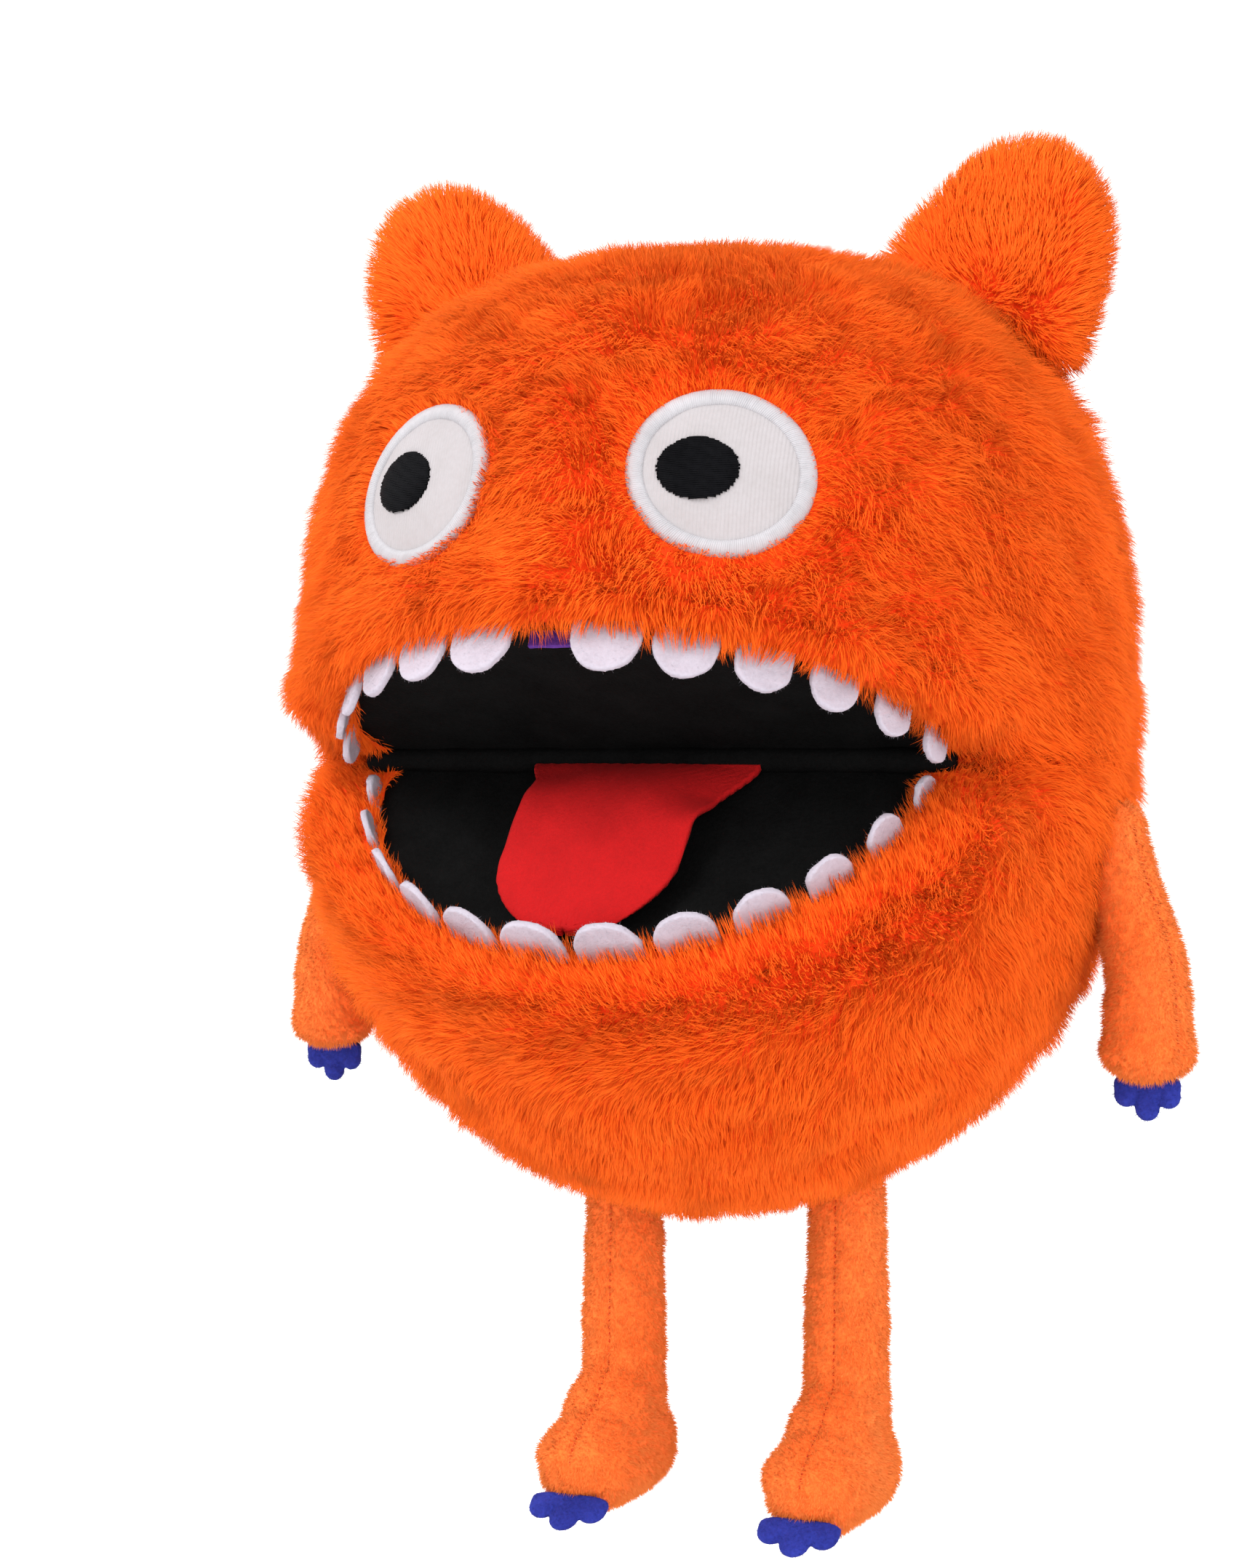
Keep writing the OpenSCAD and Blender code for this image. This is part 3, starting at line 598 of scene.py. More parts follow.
def lip_strip(lower):
    """The lip, rolled in from the ball's surface to the edge of the palate's lining."""
    w, length = (PALATE_W - ROW_STEP, PALATE_LEN - ROW_STEP) if lower else (PALATE_W, PALATE_LEN)
    a = np.radians(np.linspace(-90, 90, 121))
    x, s = w * np.sin(a), length * np.cos(a)
    out = unit(np.stack([length * np.sin(a), w * np.cos(a)], 1))
    rows = []
    for k in np.linspace(0, 1, 9):
        h = LIP_CUT - (LIP_CUT - 1.6) * math.sin(k * math.pi / 2)
        low, high = np.zeros(len(a)), np.full(len(a), 40.0)
        for _ in range(22):
            mid = (low + high) / 2
            p = palate(x + out[:, 0] * mid, s + out[:, 1] * mid, np.full(len(a), h), lower)
            inside = np.hypot(p[:, 0], p[:, 1]) < ball_r(p[:, 2], SKIN_IN) + lip_swell(p)
            low, high = np.where(inside, mid, low), np.where(inside, high, mid)
        reach = low * math.cos(k * math.pi / 2) ** 0.6
        rows.append(palate(x + out[:, 0] * reach, s + out[:, 1] * reach, np.full(len(a), h), lower))
    f = grid_faces(9, 121)
    return np.concatenate(rows), (f if lower else f[:, ::-1])


def joined(*parts):
    verts, faces, at = [], [], 0
    for v, f in parts:
        faces += [[int(i) + at for i in q] for q in f]
        verts.append(v)
        at += len(v)
    return np.concatenate(verts), faces


def thick_pelt(name, parts, inward=1.2):
    (v, f), *strips = parts
    v = v + unit(v * (1, 1, 0)) * lip_swell(v)[:, None]
    v, f = joined((v, f), *strips)
    ob = mesh_object(name, corner_dent(bridge(tufts(v))), f, PELT)
    modify(ob, "WELD", merge_threshold=0.0004)
    modify(ob, "SOLIDIFY", thickness=inward / 1000, offset=-1)
    return ob


ring_seam = ((0, SEAM_Y, 0), (0, 1, 0))
level = ((0, 0, 0), (0, 0, 1))
upper_cut = (tuple(palate(0, 0, LIP_CUT)), (0, math.sin(UPPER), math.cos(UPPER)))
lower_cut = (tuple(palate(0, 0, LIP_CUT, True)), (0, math.sin(LOWER), -math.cos(LOWER)))


def in_head(p):
    ahead = p[:, 1] < -FOLD_FWD + LIP_CUT * math.sin(UPPER)
    return (p[:, 1] < SEAM_Y) & np.where(ahead, above_palate(p) > LIP_CUT, p[:, 2] > 0)


def in_jaw(p):
    ahead = p[:, 1] < -FOLD_FWD + LIP_CUT * math.sin(LOWER)
    return (p[:, 1] < SEAM_Y) & np.where(ahead, above_palate(p, True) > LIP_CUT, p[:, 2] < 0)


face_pelt = thick_pelt("face_pelt", [cut_region("face", in_head, [ring_seam, level, upper_cut]),
                                     lip_strip(False)])
chin_pelt = thick_pelt("chin_pelt", [cut_region("chin", in_jaw, [ring_seam, level, lower_cut]),
                                     lip_strip(True)])
back_pelt = thick_pelt("back_pelt", [cut_region(
    "back", lambda p: (p[:, 1] > SEAM_Y) & ((from_axis(p) > HOLE_R) | (p @ AXIS < 0)), [ring_seam])])


def cheek_backing(name, side):
    """Backing behind a mouth corner, which the jaws' fur slides over as they move."""
    path = np.array([(88.0, 12.0), (89.0, 0.0), (87.0, -12.0), (83.5, -22.0), (79.5, -30.0), (75.0, -34.0),
                     (70.0, -35.5)])
    path = np.stack([np.interp(np.linspace(0, 6, 40), range(7), path[:, k]) for k in (0, 1)], 1)
    z = np.linspace(-11, 15, 20)
    x = side * (path[:, 0][None] - (BALL_R - ball_r(z))[:, None])
    v = np.stack([x, np.repeat(path[:, 1][None], 20, 0), np.repeat(z[:, None], 40, 1)], -1).reshape(-1, 3)
    f = grid_faces(20, 40)
    ob = mesh_object(name, v, f if side < 0 else f[:, ::-1], PELT)
    modify(ob, "SOLIDIFY", thickness=0.0012, offset=-1)
    return ob


cheeks = {s: cheek_backing(f"cheek_backing_{s}", 1 if s == "left" else -1) for s in ("left", "right")}


# ---------------------------------------------------------------- eyes' frames
def eye_axes(side, tilt=True):
    slope = math.atan(BALL_R / DOME_H * (EYE_Z / DOME_H) ** (DOME_N - 1)
                      * (1 - (EYE_Z / DOME_H) ** DOME_N) ** (1 / DOME_N - 1))
    az = math.radians(EYE_AZ)
    n = np.array([side * math.sin(az) * math.cos(slope), -math.cos(az) * math.cos(slope), math.sin(slope)])
    u = np.array([math.cos(az), side * math.sin(az), 0])
    v = np.cross(n, u)
    if tilt:
        t = math.radians(-side * EYE_TILT)
        u, v = u * math.cos(t) + v * math.sin(t), v * math.cos(t) - u * math.sin(t)
    r = float(ball_r(EYE_Z))
    return np.array([side * r * math.sin(az), -r * math.cos(az), EYE_Z]), u, v, n


def eye_place(p, side):
    """Each point's place as a share of the eye's outline, and the way out from the eye's middle."""
    c, u, v, n = eye_axes(side)
    a, b = (p - c) @ u / (EYE_W / 2), (p - c) @ v / (EYE_H / 2)
    near = np.abs((p - c) @ n) < 25
    return np.where(near, np.hypot(a, b), 9.0), unit((p - c) - ((p - c) @ n)[:, None] * n)


# ---------------------------------------------------------------- the ball's fur
def comb_of(p, n, swirl):
    """Fur lies down the ball, in locks that wander."""
    down = np.array([0, 0, -1.0]) - n * -n[:, 2:3]
    flat = unit(p * (1, 1, 0)) * (0.9 * smoothstep(n[:, 2], 0.6, 0.95))[:, None]
    return down + flat + waves3(p, 34, 11) * swirl + waves3(p, 13, 21) * swirl * 0.55


def at_lip(p, n, comb):
    """Fur stands up against the lower teeth, and turns sideways on the way there."""
    deep = above_palate(p, True)
    near = (1 - smoothstep(deep, LIP_CUT - 1, LIP_CUT + 32)) * (deep > -2)
    near = (near * smoothstep(-p[:, 1], FOLD_FWD, FOLD_FWD + 12))[:, None]
    turn = near * math.pi / 2
    up = np.array([0, -math.sin(LOWER), math.cos(LOWER)])
    aside = np.cross(n, up) * np.sin(2 * turn) * (0.9 + 0.2 * waves(p, 45, 51))[:, None]
    return comb * np.cos(turn) ** 2 + up * np.sin(turn) ** 2 + aside


def fur_of(name, ob, per_mm2, pieces, seed, length=7.4, swirl=0.4, under=False, **look):
    rng = np.random.default_rng(seed)
    p, n = sample(ob, per_mm2, rng)
    keep = (n * unit(p)).sum(1) > -0.75
    size = np.full(len(p), float(length))
    comb = at_lip(p, n, comb_of(p, n, swirl))
    for side in (1, -1):
        share, away = eye_place(p, side)
        keep &= share > 0.93
        rim = np.exp(-((np.maximum(share, 1) - 1) / 0.22) ** 2)[:, None]
        comb = comb * (1 - 0.75 * rim) + away * 0.9 * rim
        size *= 1 - 0.42 * rim[:, 0]
    seam = np.exp(-((p[:, 1] - SEAM_Y) / 3.0) ** 2)
    size *= 1 - 0.45 * seam
    inner = np.clip((BALL_R - 7 - np.linalg.norm(p, axis=1)) / 12, 0, 1)
    mouth = inner * ((np.abs(above_palate(p)) < 7) | (np.abs(above_palate(p, True)) < 7))
    size *= 1 - 0.55 * mouth
    size *= 1 + 0.12 * waves(p, 17, 31)
    size *= 1 - 0.32 * smoothstep(-n[:, 2], 0.35, 0.9) - 0.2 * smoothstep(n[:, 2], 0.5, 0.95)
    p, n, comb, size = p[keep], n[keep], comb[keep], size[keep]
    tint = np.clip(0.62 + 0.25 * rng.normal(size=len(p)) + 0.22 * waves(p, 15, 41), 0, 1)
    root, mid, tip, width, normal = lay_fur(p, n, comb, size, rng, **look)
    return fur_pieces(name, FUR, pieces, (root, None if under else mid, tip, width, normal), tint)


DENSE = 1.6
UNDER = {"length": 5.2, "under": True, "width": 0.26, "pull": 0.25, "clump": 2.2, "lift": (18, 36)}
TOP = {"width": 0.2, "clump": 2.6, "pull": 0.32}


def coat(name, ob, per_mm2, pieces, seed, swirl):
    """A short straight undercoat, and a longer top coat in soft locks."""
    evaluated(ob)
    return (fur_of(name, ob, per_mm2, pieces, seed, swirl=swirl, **TOP)
            + fur_of(name + "_under", ob, per_mm2 * 1.5, pieces - 1, seed + 50, swirl=swirl, **UNDER))


face_fur = coat("fur_face", face_pelt, DENSE, 5, 1, 0.45)
chin_fur = coat("fur_chin", chin_pelt, DENSE, 4, 2, 0.35)
back_fur = coat("fur_back", back_pelt, DENSE * 0.8, 4, 3, 0.4)
cheek_fur = {s: fur_of(f"fur_cheek_{s}", evaluated(ob), DENSE * 1.4, 1, 4, length=5.5, swirl=0.3)[0]
             for s, ob in cheeks.items()}

# ---------------------------------------------------------------- ears
ears, ear_fur = {}, {}
EAR_LEAN, EAR_TALL = math.radians(28), 33.0
for s, side in (("left", 1), ("right", -1)):
    hinge = to_ball(JOINT[f"ear_flop_{s}"])
    up = np.array([side * math.sin(EAR_LEAN), 0, math.cos(EAR_LEAN)])
    wide = np.array([side * math.cos(EAR_LEAN), 0, -math.sin(EAR_LEAN)])

    def ear_shape(p, n, hinge=hinge, up=up, wide=wide):
        """Broad where it meets the ball, and narrower towards the tip."""
        rise, across = (p - hinge) @ up, (p - hinge) @ wide
        spread = across * (0.12 - 0.3 * np.clip(rise, 0, EAR_TALL) / EAR_TALL)
        root = -4.5 * (1 - smoothstep(rise, -2, 10))
        return p + wide * spread[:, None] + up * root[:, None]

    ears[s] = from_nodes(f"ear_skin_{s}", [f"ear_stuffing_{s}"], PELT, 1.2, grow=1.6, smooth=22,
                         shape=ear_shape)
    rng = np.random.default_rng(51)
    p, n = sample(ears[s], DENSE * 2.4, rng)
    rise = (p - hinge) @ up
    comb = unit(p - hinge + up * 6) + waves3(p, 16, 61) * 0.3
    laid = lay_fur(p, n, comb, np.full(len(p), 6.6), rng, width=0.24, clump=2.2, pull=0.35, lift=(34, 58))
    tint = np.clip(0.6 + 0.25 * rng.normal(size=len(p)) + 0.2 * waves(p, 12, 71), 0, 1)
    ear_fur[s] = fur_pieces(f"fur_ear_{s}", EAR_FUR, 1, laid, tint)[0]

# ---------------------------------------------------------------- eyes
eye_parts = {}
for s, side in (("left", 1), ("right", -1)):
    c, u, v, n = eye_axes(side)
    _, pu, pv, _ = eye_axes(side, tilt=False)

    def on_eye(a, b, w, u=u, v=v, c=c, n=n):
        """A point on the eye's curved face, by its place across, up and out."""
        a, b, w = np.broadcast_arrays(a, b, w)
        w = w + 0.5 - (a ** 2 + b ** 2) / (2 * EYE_CURVE)
        return c + a[..., None] * u + b[..., None] * v + w[..., None] * n

    k, t = np.meshgrid(np.linspace(0.001, 1, 24), np.arange(96) * math.tau / 96, indexing="ij")
    half_w, half_h = EYE_W / 2 - BORDER + 0.6, EYE_H / 2 - BORDER + 0.6
    a, b = k * half_w * np.cos(t), k * half_h * np.sin(t)
    uneven_face = waves(np.stack([a, b, a * 0], -1).reshape(-1, 3), 9, 5).reshape(a.shape)
    top = on_eye(a, b, 0.25 * (1 - k ** 6) + 0.04 * uneven_face)
    white = mesh_object(f"eye_patch_{s}", top.reshape(-1, 3), grid_faces(24, 96, wrap=True)[:, ::-1], EYE)
    modify(white, "SOLIDIFY", thickness=0.001, offset=-1)
    evaluated(white)

    # The satin stitched ring: slanting threads laid side by side over a rounded rim.
    threads, steps = 250, 6
    around, across = threads * steps, 13
    i, j = np.meshgrid(np.arange(around), np.arange(across), indexing="ij")
    t = i / around * math.tau
    cross = j / (across - 1) * math.pi
    jitter = np.random.default_rng(81).uniform(0.7, 1.15, threads)[(i // steps) % threads]
    ridge = 0.16 * np.abs(np.sin(math.pi * (i % steps) / steps)) * jitter
    slant = (cross - math.pi / 2) * 0.018
    edge = (BORDER / 2 + 0.25 + ridge * 0.6) * np.cos(cross)
    a = (EYE_W / 2 - BORDER / 2 + edge) * np.cos(t + slant)
    b = (EYE_H / 2 - BORDER / 2 + edge) * np.sin(t + slant)
    out = (1.15 + ridge) * np.sin(cross) - 0.35
    ring_v = on_eye(a, b, out).reshape(-1, 3)
    under = on_eye(a[:, [-1, 0]], b[:, [-1, 0]], np.full((around, 2), -1.2)).reshape(-1, 3)
    verts = np.concatenate([ring_v, under])
    faces = []
    for q in range(around):
        r = (q + 1) % around
        faces += [(q * across + w, q * across + w + 1, r * across + w + 1, r * across + w)
                  for w in range(across - 1)]
        base, nxt = len(ring_v) + q * 2, len(ring_v) + r * 2
        faces += [(q * across + across - 1, base, nxt, r * across + across - 1),
                  (base, base + 1, nxt + 1, nxt), (base + 1, q * across, r * across, nxt + 1)]
    border = mesh_object(f"eye_stitching_{s}", verts, faces, SATIN)

    # The pupil: rows of thread over a low pad.
    rows, per = 34, 30
    ph, pw = PUPIL_H / 2, PUPIL_W / 2
    verts, faces = [], []
    rng = np.random.default_rng(91)
    for r in range(rows):
        y0 = -ph + (r + 0.5) / rows * 2 * ph
        half = pw * math.sqrt(max(1 - (y0 / ph) ** 2, 0)) + rng.uniform(-0.25, 0.25)
        xs = np.linspace(-half, half, per)
        lift = (0.75 * (1 - (xs / (pw + 0.6)) ** 2 * 0.55 - (y0 / ph) ** 2 * 0.45)
                * (1 - (xs / half) ** 8))
        for q in range(6):
            ang = q * math.tau / 6
            yy = y0 + 0.27 * math.cos(ang) + 0.05 * np.sin(xs * 1.3 + r)
            local = pu[None] * (xs - GAZE)[:, None] + pv[None] * (yy + PUPIL_UP)[:, None]
            verts.append(on_eye(local @ u, local @ v, lift + 0.24 * math.sin(ang) + 0.35))
        at = r * 6 * per
        for q in range(6):
            w = (q + 1) % 6
            faces += [(at + q * per + e, at + q * per + e + 1, at + w * per + e + 1, at + w * per + e)
                      for e in range(per - 1)]
        faces += [[at + q * per for q in range(5, -1, -1)], [at + q * per + per - 1 for q in range(6)]]
    thread = mesh_object(f"pupil_stitching_{s}", np.concatenate(verts), faces, THREAD)
    k, t = np.meshgrid(np.linspace(0.001, 1, 12), np.arange(64) * math.tau / 64, indexing="ij")
    a, b = k * (pw - 0.3) * np.cos(t) - GAZE, k * (ph - 0.3) * np.sin(t) + PUPIL_UP
    local = a[..., None] * pu + b[..., None] * pv
    top = on_eye(local @ u, local @ v, 0.3 + 0.6 * (1 - k ** 3))
    pad = mesh_object(f"pupil_pad_{s}", top.reshape(-1, 3), grid_faces(12, 64, wrap=True)[:, ::-1], THREAD)
    modify(pad, "SOLIDIFY", thickness=0.0006, offset=-1)
    evaluated(pad)
    eye_parts[s] = [white, border, thread, pad]

# ---------------------------------------------------------------- mouth
def uneven(depth, size, seed):
    return lambda p, n: p + n * (depth * waves(p, size, seed))[:, None]


linings = {row: from_nodes(f"{row}_palate", [f"{row}_lining"], BLACK, 0.55, smooth=2,
                           shape=uneven(0.25, 15, 101)) for row in ("upper", "lower")}
fold = from_nodes("fold_cloth", ["mouth_fold"], BLACK, 0.55, grow=1.1, smooth=1,
                  shape=uneven(0.15, 12, 103))
teeth = {row: from_nodes(f"{row}_felt_teeth", [f"{row}_teeth"], WHITE, 0.42, smooth=2,
                         shape=uneven(0.12, 6, 105)) for row in ("upper", "lower")}
tab = from_nodes("purple_tab", ["lip_tab"], PURPLE, 0.3, smooth=2, shape=uneven(0.06, 4, 107))
teeth_fuzz = {row: fuzz(f"{row}_teeth_fibres", ob, WHITE, 1.6, 0.75, 0.07, 111)
              for row, ob in teeth.items()}
palate_fuzz = {row: fuzz(f"{row}_palate_fibres", ob, BLACK, 0.7, 0.8, 0.07, 113)
               for row, ob in linings.items()}

# The tongue: ribbed fleece that rises in a hump at the fold, then lies over the lower palate.
nu, nv = 61, 110
line = np.array([(2.4, 0.4), (5.0, 2.4), (10.0, 4.9), (15.0, 7.2), (20.0, 8.3), (26.0, 7.8),
                 (32.0, 6.0), (38.0, 4.4), (45.0, 3.4), (52.5, 2.0)])
seg = np.concatenate([[0], np.cumsum(np.linalg.norm(np.diff(line, axis=0), axis=1))])
run = np.linspace(0, 1, nv)
smooth_line = np.stack([np.interp(run * seg[-1], seg, line[:, k]) for k in (0, 1)], 1)
for _ in range(60):
    smooth_line[1:-1] = (smooth_line[:-2] + 2 * smooth_line[1:-1] + smooth_line[2:]) / 4
tip_r, root_half, side_half = 19.5, 27.0, 21.0
straight = 1 - tip_r / seg[-1]
half = np.where(run < straight, side_half + (root_half - side_half) * (1 - smoothstep(run, 0, 0.3)),
                side_half * np.sqrt(np.clip(1 - ((run - straight) / (1 - straight)) ** 2, 0.0004, 1)))
uu = np.linspace(-1, 1, nu)
x = half[:, None] * uu[None] - 3.5 * smoothstep(run, 0.1, 0.9)[:, None]
low_end = 1 - 0.8 * smoothstep(x, 6, 25) * (1 - smoothstep(run, 0.25, 0.5))[:, None]
rise = smooth_line[:, 1][:, None] * low_end
curl = 1.6 * uu[None] ** 4 * smoothstep(run, 0.3, 0.6)[:, None]
place_x = np.stack([x, np.repeat(run[:, None] * 50, nu, 1), x * 0], -1).reshape(-1, 3)
rib = 0.10 * np.sin(x * math.tau / 1.25)
h = -rise - rib + curl + 0.35 * waves(place_x, 24, 121).reshape(x.shape) * smoothstep(run, 0, 0.2)[:, None]
s_at = np.repeat(smooth_line[:, 0][:, None], nu, 1)
tongue = mesh_object("tongue_cloth", palate(x, s_at, np.minimum(h, -0.4), True).reshape(-1, 3),
                     grid_faces(nv, nu)[:, ::-1], RED)
modify(tongue, "SOLIDIFY", thickness=0.0014, offset=0)
evaluated(tongue)

# ---------------------------------------------------------------- arms and legs
limbs, piles, claws, stitches = {}, {}, {}, {}
ARM_X, CENTRE_Y = to_ball(JOINT["arm_lift_left"])[0], 0.0
ARM_IN = 8.0        # how far an arm's top leans in to the ball


def arm_in(z):
    """How far an arm leans in to the ball at a height."""
    return ARM_IN * smoothstep(z, -50, -12)


def limb_shape(p, n):
    """Slack stuffing: low swells and creases across the limb."""
    crease = waves(p * (0.35, 0.35, 1), 11, 131) * 0.28 + waves(p, 6, 133) * 0.14
    return p + n * crease[:, None]


def arm_shape(p):
    """An arm's top leans in to the ball, and its end is square."""
    side = np.sign(p[:, :1])
    middle = np.array([ARM_X, CENTRE_Y, 0]) * side
    end = smoothstep(-p[:, 2:], 60, 69)
    out = p + (p - middle) * (1, 1, 0) * 0.22 * end
    out[:, 0] -= side[:, 0] * arm_in(p[:, 2])
    return out


def on_skin(ob, line, out):
    """A line of points moved on to an object's surface, along the directions out."""
    v, t, _ = arrays(ob.data)
    tree = BVHTree.FromPolygons([Vector(q) for q in to_ball(v)], [tuple(map(int, q)) for q in t])
    hits = [tree.ray_cast(Vector(q + o * 12), Vector(-o), 24)[0] for q, o in zip(line, out)]
    return np.array([q if hit is None else hit for q, hit in zip(line, hits)])


def seam_of(name, line, out, gap=1.6):
    """A run of small stitches along a line of points."""
    seg = np.linalg.norm(np.diff(line, axis=0), axis=1)
    at = np.concatenate([[0], np.cumsum(seg)])

    def along(d, values):
        return np.array([np.interp(d, at, values[:, i]) for i in range(3)])

    verts, faces = [], []
    for k, d in enumerate(np.arange(0.5, at[-1] - gap, gap)):
        ends = [along(d + e * gap * 0.62, line) for e in (0, 0.33, 0.67, 1)]
        o = along(d, out)
        way = unit((ends[3] - ends[0])[None])[0]
        side = np.cross(way, o)
        for j, e in enumerate(ends):
            w = 0.2 if j in (1, 2) else 0.12
            rise = 0.18 if j in (1, 2) else -0.25
            for q in range(6):
                c2, s2 = math.cos(q * math.tau / 6), math.sin(q * math.tau / 6)
                verts.append(e + o * rise + (side * c2 + o * s2) * w)
        b = k * 24
        for j in range(3):
            c = b + j * 6
            faces += [(c + q, c + (q + 1) % 6, c + 6 + (q + 1) % 6, c + 6 + q) for q in range(6)]
        faces += [[b + q for q in range(5, -1, -1)], [b + 18 + q for q in range(6)]]
    return mesh_object(name, np.array(verts), faces, SEWING)


def blob(centre, axes, boxy=1.0):
    """A closed rounded lump with these half axes, squarer as boxy falls."""
    k, t = np.meshgrid(np.linspace(0, math.pi, 21), np.arange(32) * math.tau / 32, indexing="ij")
    q = np.stack([np.sin(k) * np.cos(t), np.cos(k), np.sin(k) * np.sin(t)], -1).reshape(-1, 3)
    q = np.sign(q) * np.abs(q) ** boxy
    return np.asarray(centre) + q @ np.asarray(axes, float), grid_faces(21, 32, wrap=True)


def felt_claws(name, top, down, out, width, drop):
    """Three felt claws that hang from one strip, the middle one longest."""
    down, out = np.array(down, float), np.array(out, float)
    lobe, across = width * 0.185, np.array([1.0, 0, 0])
    parts = [blob(top + down * 1.9, (across * width / 2, down * 2.6, out * 1.4), 0.55)]
    for x, reach in ((-width / 2 + lobe, drop * 0.7), (0, drop), (width / 2 - lobe, drop * 0.7)):
        for share, wide in ((0, 0.85), (0.5, 0.9), (1, 1.0)):
            at = top + across * x + down * (2.6 + share * (reach - 2.6 - lobe))
            parts.append(blob(at, (across * lobe * wide, down * lobe * wide, out * 1.5)))
    v, f = joined(*parts)
    return fused(mesh_object(name, v, f, BLUE), BLUE, 0.4, 3)


def groove(line, reshape, depth=0.9, width=1.1):
    """Draws a surface in along a line of points."""
    tree = tree_of(line)

    def shape(p, n):
        p = limb_shape(p, n)
        gap = np.array([tree.find(q)[2] for q in p])
        p = p - n * (depth * np.exp(-(gap / width) ** 2))[:, None]
        return reshape(p)
    return shape


def leg_shape(p, hip, sole):
    """A leg's top goes up into the fur, and its foot flows out of the shin and droops at the toe."""
    out = p.copy()
    out[:, 2] += 8 * smoothstep(p[:, 2], hip[2] - 6, hip[2] + 7)
    ahead = hip[1] - p[:, 1]
    rise = p[:, 2] - sole
    out[:, 2] -= 3.0 * smoothstep(ahead, 6, 32) * smoothstep(rise, 8, 24)
    return out


for s, side in (("left", 1), ("right", -1)):
    for kind in ("arm", "leg"):
        pivot = to_ball(JOINT["arm_lift_" + s if kind == "arm" else "leg_swing_" + s])
        low, high = (to_ball(q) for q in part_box(f"{kind}_{s}"))
        if kind == "arm":
            zs = np.linspace(high[2] - 6, low[2] + 5, 60)
            away = np.array([side * math.cos(0.5), -math.sin(0.5), 0.0])
            r = np.interp(zs, [low[2] + 5, low[2] + 10, high[2] - 6], [8.0, 9.7, 7.4])
            line = pivot * (1, 1, 0) + away * r[:, None] + np.stack([zs * 0, zs * 0, zs], 1)
            out = np.repeat(away[None], 60, 0)
            reshape = arm_shape
        else:
            zs = np.linspace(high[2] - 4, low[2] + 30, 50)
            r = np.interp(zs, [low[2] + 30, high[2] - 4], [10.6, 9.0])
            shin = np.stack([zs * 0 + pivot[0], pivot[1] - r, zs], 1)
            a = np.radians(np.linspace(62, -4, 26))
            toe = np.stack([a * 0 + pivot[0], pivot[1] - 20 - 12.4 * np.cos(a),
                            low[2] + 12.5 + 12.4 * np.sin(a)], 1)

            def reshape(p, hip=pivot, sole=low[2]):
                return leg_shape(p, hip, sole)

            out = np.concatenate([np.repeat([[0, -1.0, 0]], 50, 0),
                                  np.stack([a * 0, -np.cos(a), np.sin(a)], 1)])
            ease = np.linspace(0, 1, 12)[1:-1, None]
            line = np.concatenate([shin, shin[-1] * (1 - ease) + toe[0] * ease, toe])
            out = np.concatenate([out[:50], unit(out[49] * (1 - ease) + out[50] * ease), out[50:]])
        instep = []
        if kind == "leg":
            tilt = math.radians(52)
            instep = [blob((pivot[0], pivot[1] - 11, low[2] + 19), (
                (9.6, 0, 0), (0, -14.5 * math.cos(tilt), -14.5 * math.sin(tilt)),
                (0, 8.2 * math.sin(tilt), -8.2 * math.cos(tilt))))]
        limbs[kind, s] = from_nodes(f"{kind}_skin_{s}", [f"{kind}_stuffing_{s}"], VELBOA, 1.0, grow=1.4,
                                    smooth=6 if kind == "arm" else 26, shape=groove(line, reshape),
                                    extra=instep)
        if kind == "arm":
            line = line - np.stack([side * arm_in(line[:, 2]), zs * 0, zs * 0], 1)
        else:
            line = reshape(line)
        piles[kind, s] = fuzz(f"{kind}_pile_{s}", limbs[kind, s], PILE, 5.0, 1.7,
                              0.26, 141, comb=(0, 0, -1), lean=0.55, stray=0.35)
        stitches[kind, s] = seam_of(f"{kind}_seam_{s}", on_skin(limbs[kind, s], line, out) + out * 0.1, out)
    for key, node in (("hand", f"hand_claws_{s}"), ("foot", f"foot_claws_{s}")):
        low, high = (to_ball(q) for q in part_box(node))
        mid = (low + high) / 2
        if key == "hand":
            ob = felt_claws(f"hand_felt_claws_{s}", np.array([mid[0], mid[1], high[2] + 1.2]), (0, 0, -1),
                            (0, -1, 0), high[0] - low[0], 9.6)
        else:
            ob = felt_claws(f"foot_felt_claws_{s}", np.array([mid[0], high[1] + 0.5, high[2] - 2.2]),
                            (0, -0.79, -0.61), (0, -0.61, 0.79), high[0] - low[0] + 0.6, 9.4)
        claws[key, s] = [ob, fuzz(f"{key}_claw_fibres_{s}", ob, BLUE, 3.5, 0.9, 0.1, 153)]

# ---------------------------------------------------------------- hand space
sleeve = from_nodes("sleeve_cloth", ["hand_sleeve"], SLEEVE, 1.1, smooth=2,
                    shape=lambda p, n: p + n * (0.5 * waves(p, 18, 161))[:, None] * 0.6)
cuff = from_nodes("cuff_roll", ["hand_cuff"], SLEEVE, 0.9, smooth=2,
                  shape=lambda p, n: p + n * (0.35 * np.sin(np.arctan2(p[:, 0], p[:, 2] + 39.8) * 46)
                                              + 0.3 * waves(p, 14, 163))[:, None])
pockets = {k: from_nodes(f"{k}_pocket_cloth", [f"{k}_pocket"], SLEEVE, 1.0, smooth=4,
                         shape=uneven(0.3, 16, 165)) for k in ("finger", "thumb")}


def bend(ob):
    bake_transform(ob)


def put(ob, body, slot, *nodes):
    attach(ob, body)
    if nodes:
        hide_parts(*nodes)


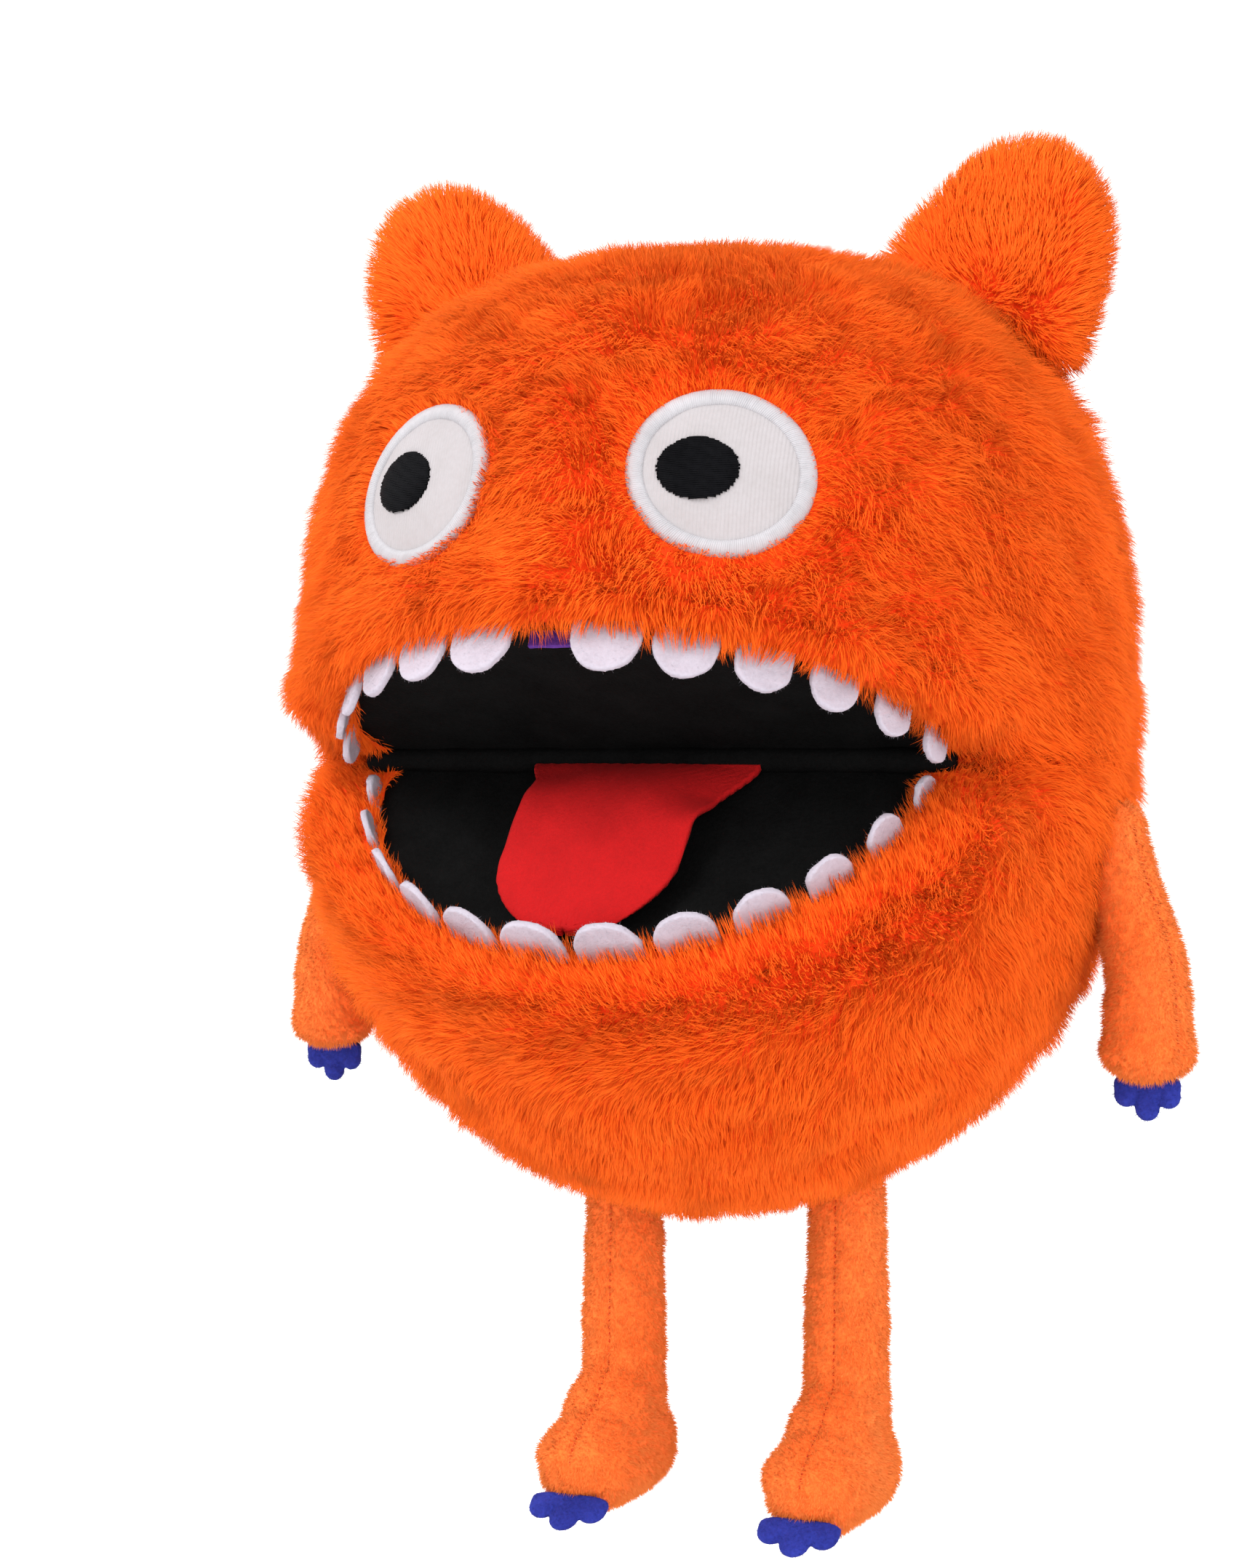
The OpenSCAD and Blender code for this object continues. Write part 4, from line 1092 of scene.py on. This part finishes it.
for ob in [face_pelt, *face_fur]:
    bend(ob)
for ob in [chin_pelt, *chin_fur]:
    bend(ob)
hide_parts("head_plush", "brow_gusset", "head_stuffing")
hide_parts("chin_plush", "chin_gusset", "chin_stuffing")
put(back_pelt, "back", "fur", "back_panel", "body_stuffing")
for ob in back_fur:
    put(ob, "back", "fur")
for s in ("left", "right"):
    put(cheeks[s], "back", "fur", f"cheek_{s}")
    put(cheek_fur[s], "back", "fur")
    put(ears[s], f"ear_{s}", "fur", f"ear_{s}", f"ear_stuffing_{s}")
    put(ear_fur[s], f"ear_{s}", "fur")
    white, border, thread, pad = eye_parts[s]
    put(white, "head", "eye_fabric", f"eye_white_{s}")
    put(border, "head", "white_satin", f"eye_border_{s}")
    put(thread, "head", "black_thread", f"pupil_{s}")
    put(pad, "head", "black_thread")
    for kind in ("arm", "leg"):
        put(limbs[kind, s], f"{kind}_{s}", "velboa", f"{kind}_{s}", f"{kind}_stuffing_{s}")
        put(piles[kind, s], f"{kind}_{s}", "velboa")
        put(stitches[kind, s], f"{kind}_{s}", "velboa")
    for key, body, node in (("hand", f"arm_{s}", f"hand_claws_{s}"),
                            ("foot", f"leg_{s}", f"foot_claws_{s}")):
        put(claws[key, s][0], body, "blue_felt", node)
        put(claws[key, s][1], body, "blue_felt")
for row, body in (("upper", "head"), ("lower", "jaw")):
    put(linings[row], body, "black_felt", f"{row}_lining")
    put(palate_fuzz[row], body, "black_felt")
    put(teeth[row], body, "white_felt", f"{row}_teeth")
    put(teeth_fuzz[row], body, "white_felt")
put(fold, "back", "black_felt", "mouth_fold")
put(tab, "head", "purple_felt", "lip_tab")
put(tongue, "tongue", "red_fleece", "tongue")
put(sleeve, "back", "sleeve_fabric", "hand_sleeve")
put(cuff, "back", "sleeve_fabric", "hand_cuff")
put(pockets["finger"], "head", "sleeve_fabric", "finger_pocket")
put(pockets["thumb"], "jaw", "sleeve_fabric", "thumb_pocket")
for node in ("upper_stiffener", "lower_stiffener"):
    ob = frame["nodes"][node]
    for slot in ob.material_slots:
        slot.material = CARD

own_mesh(tongue)
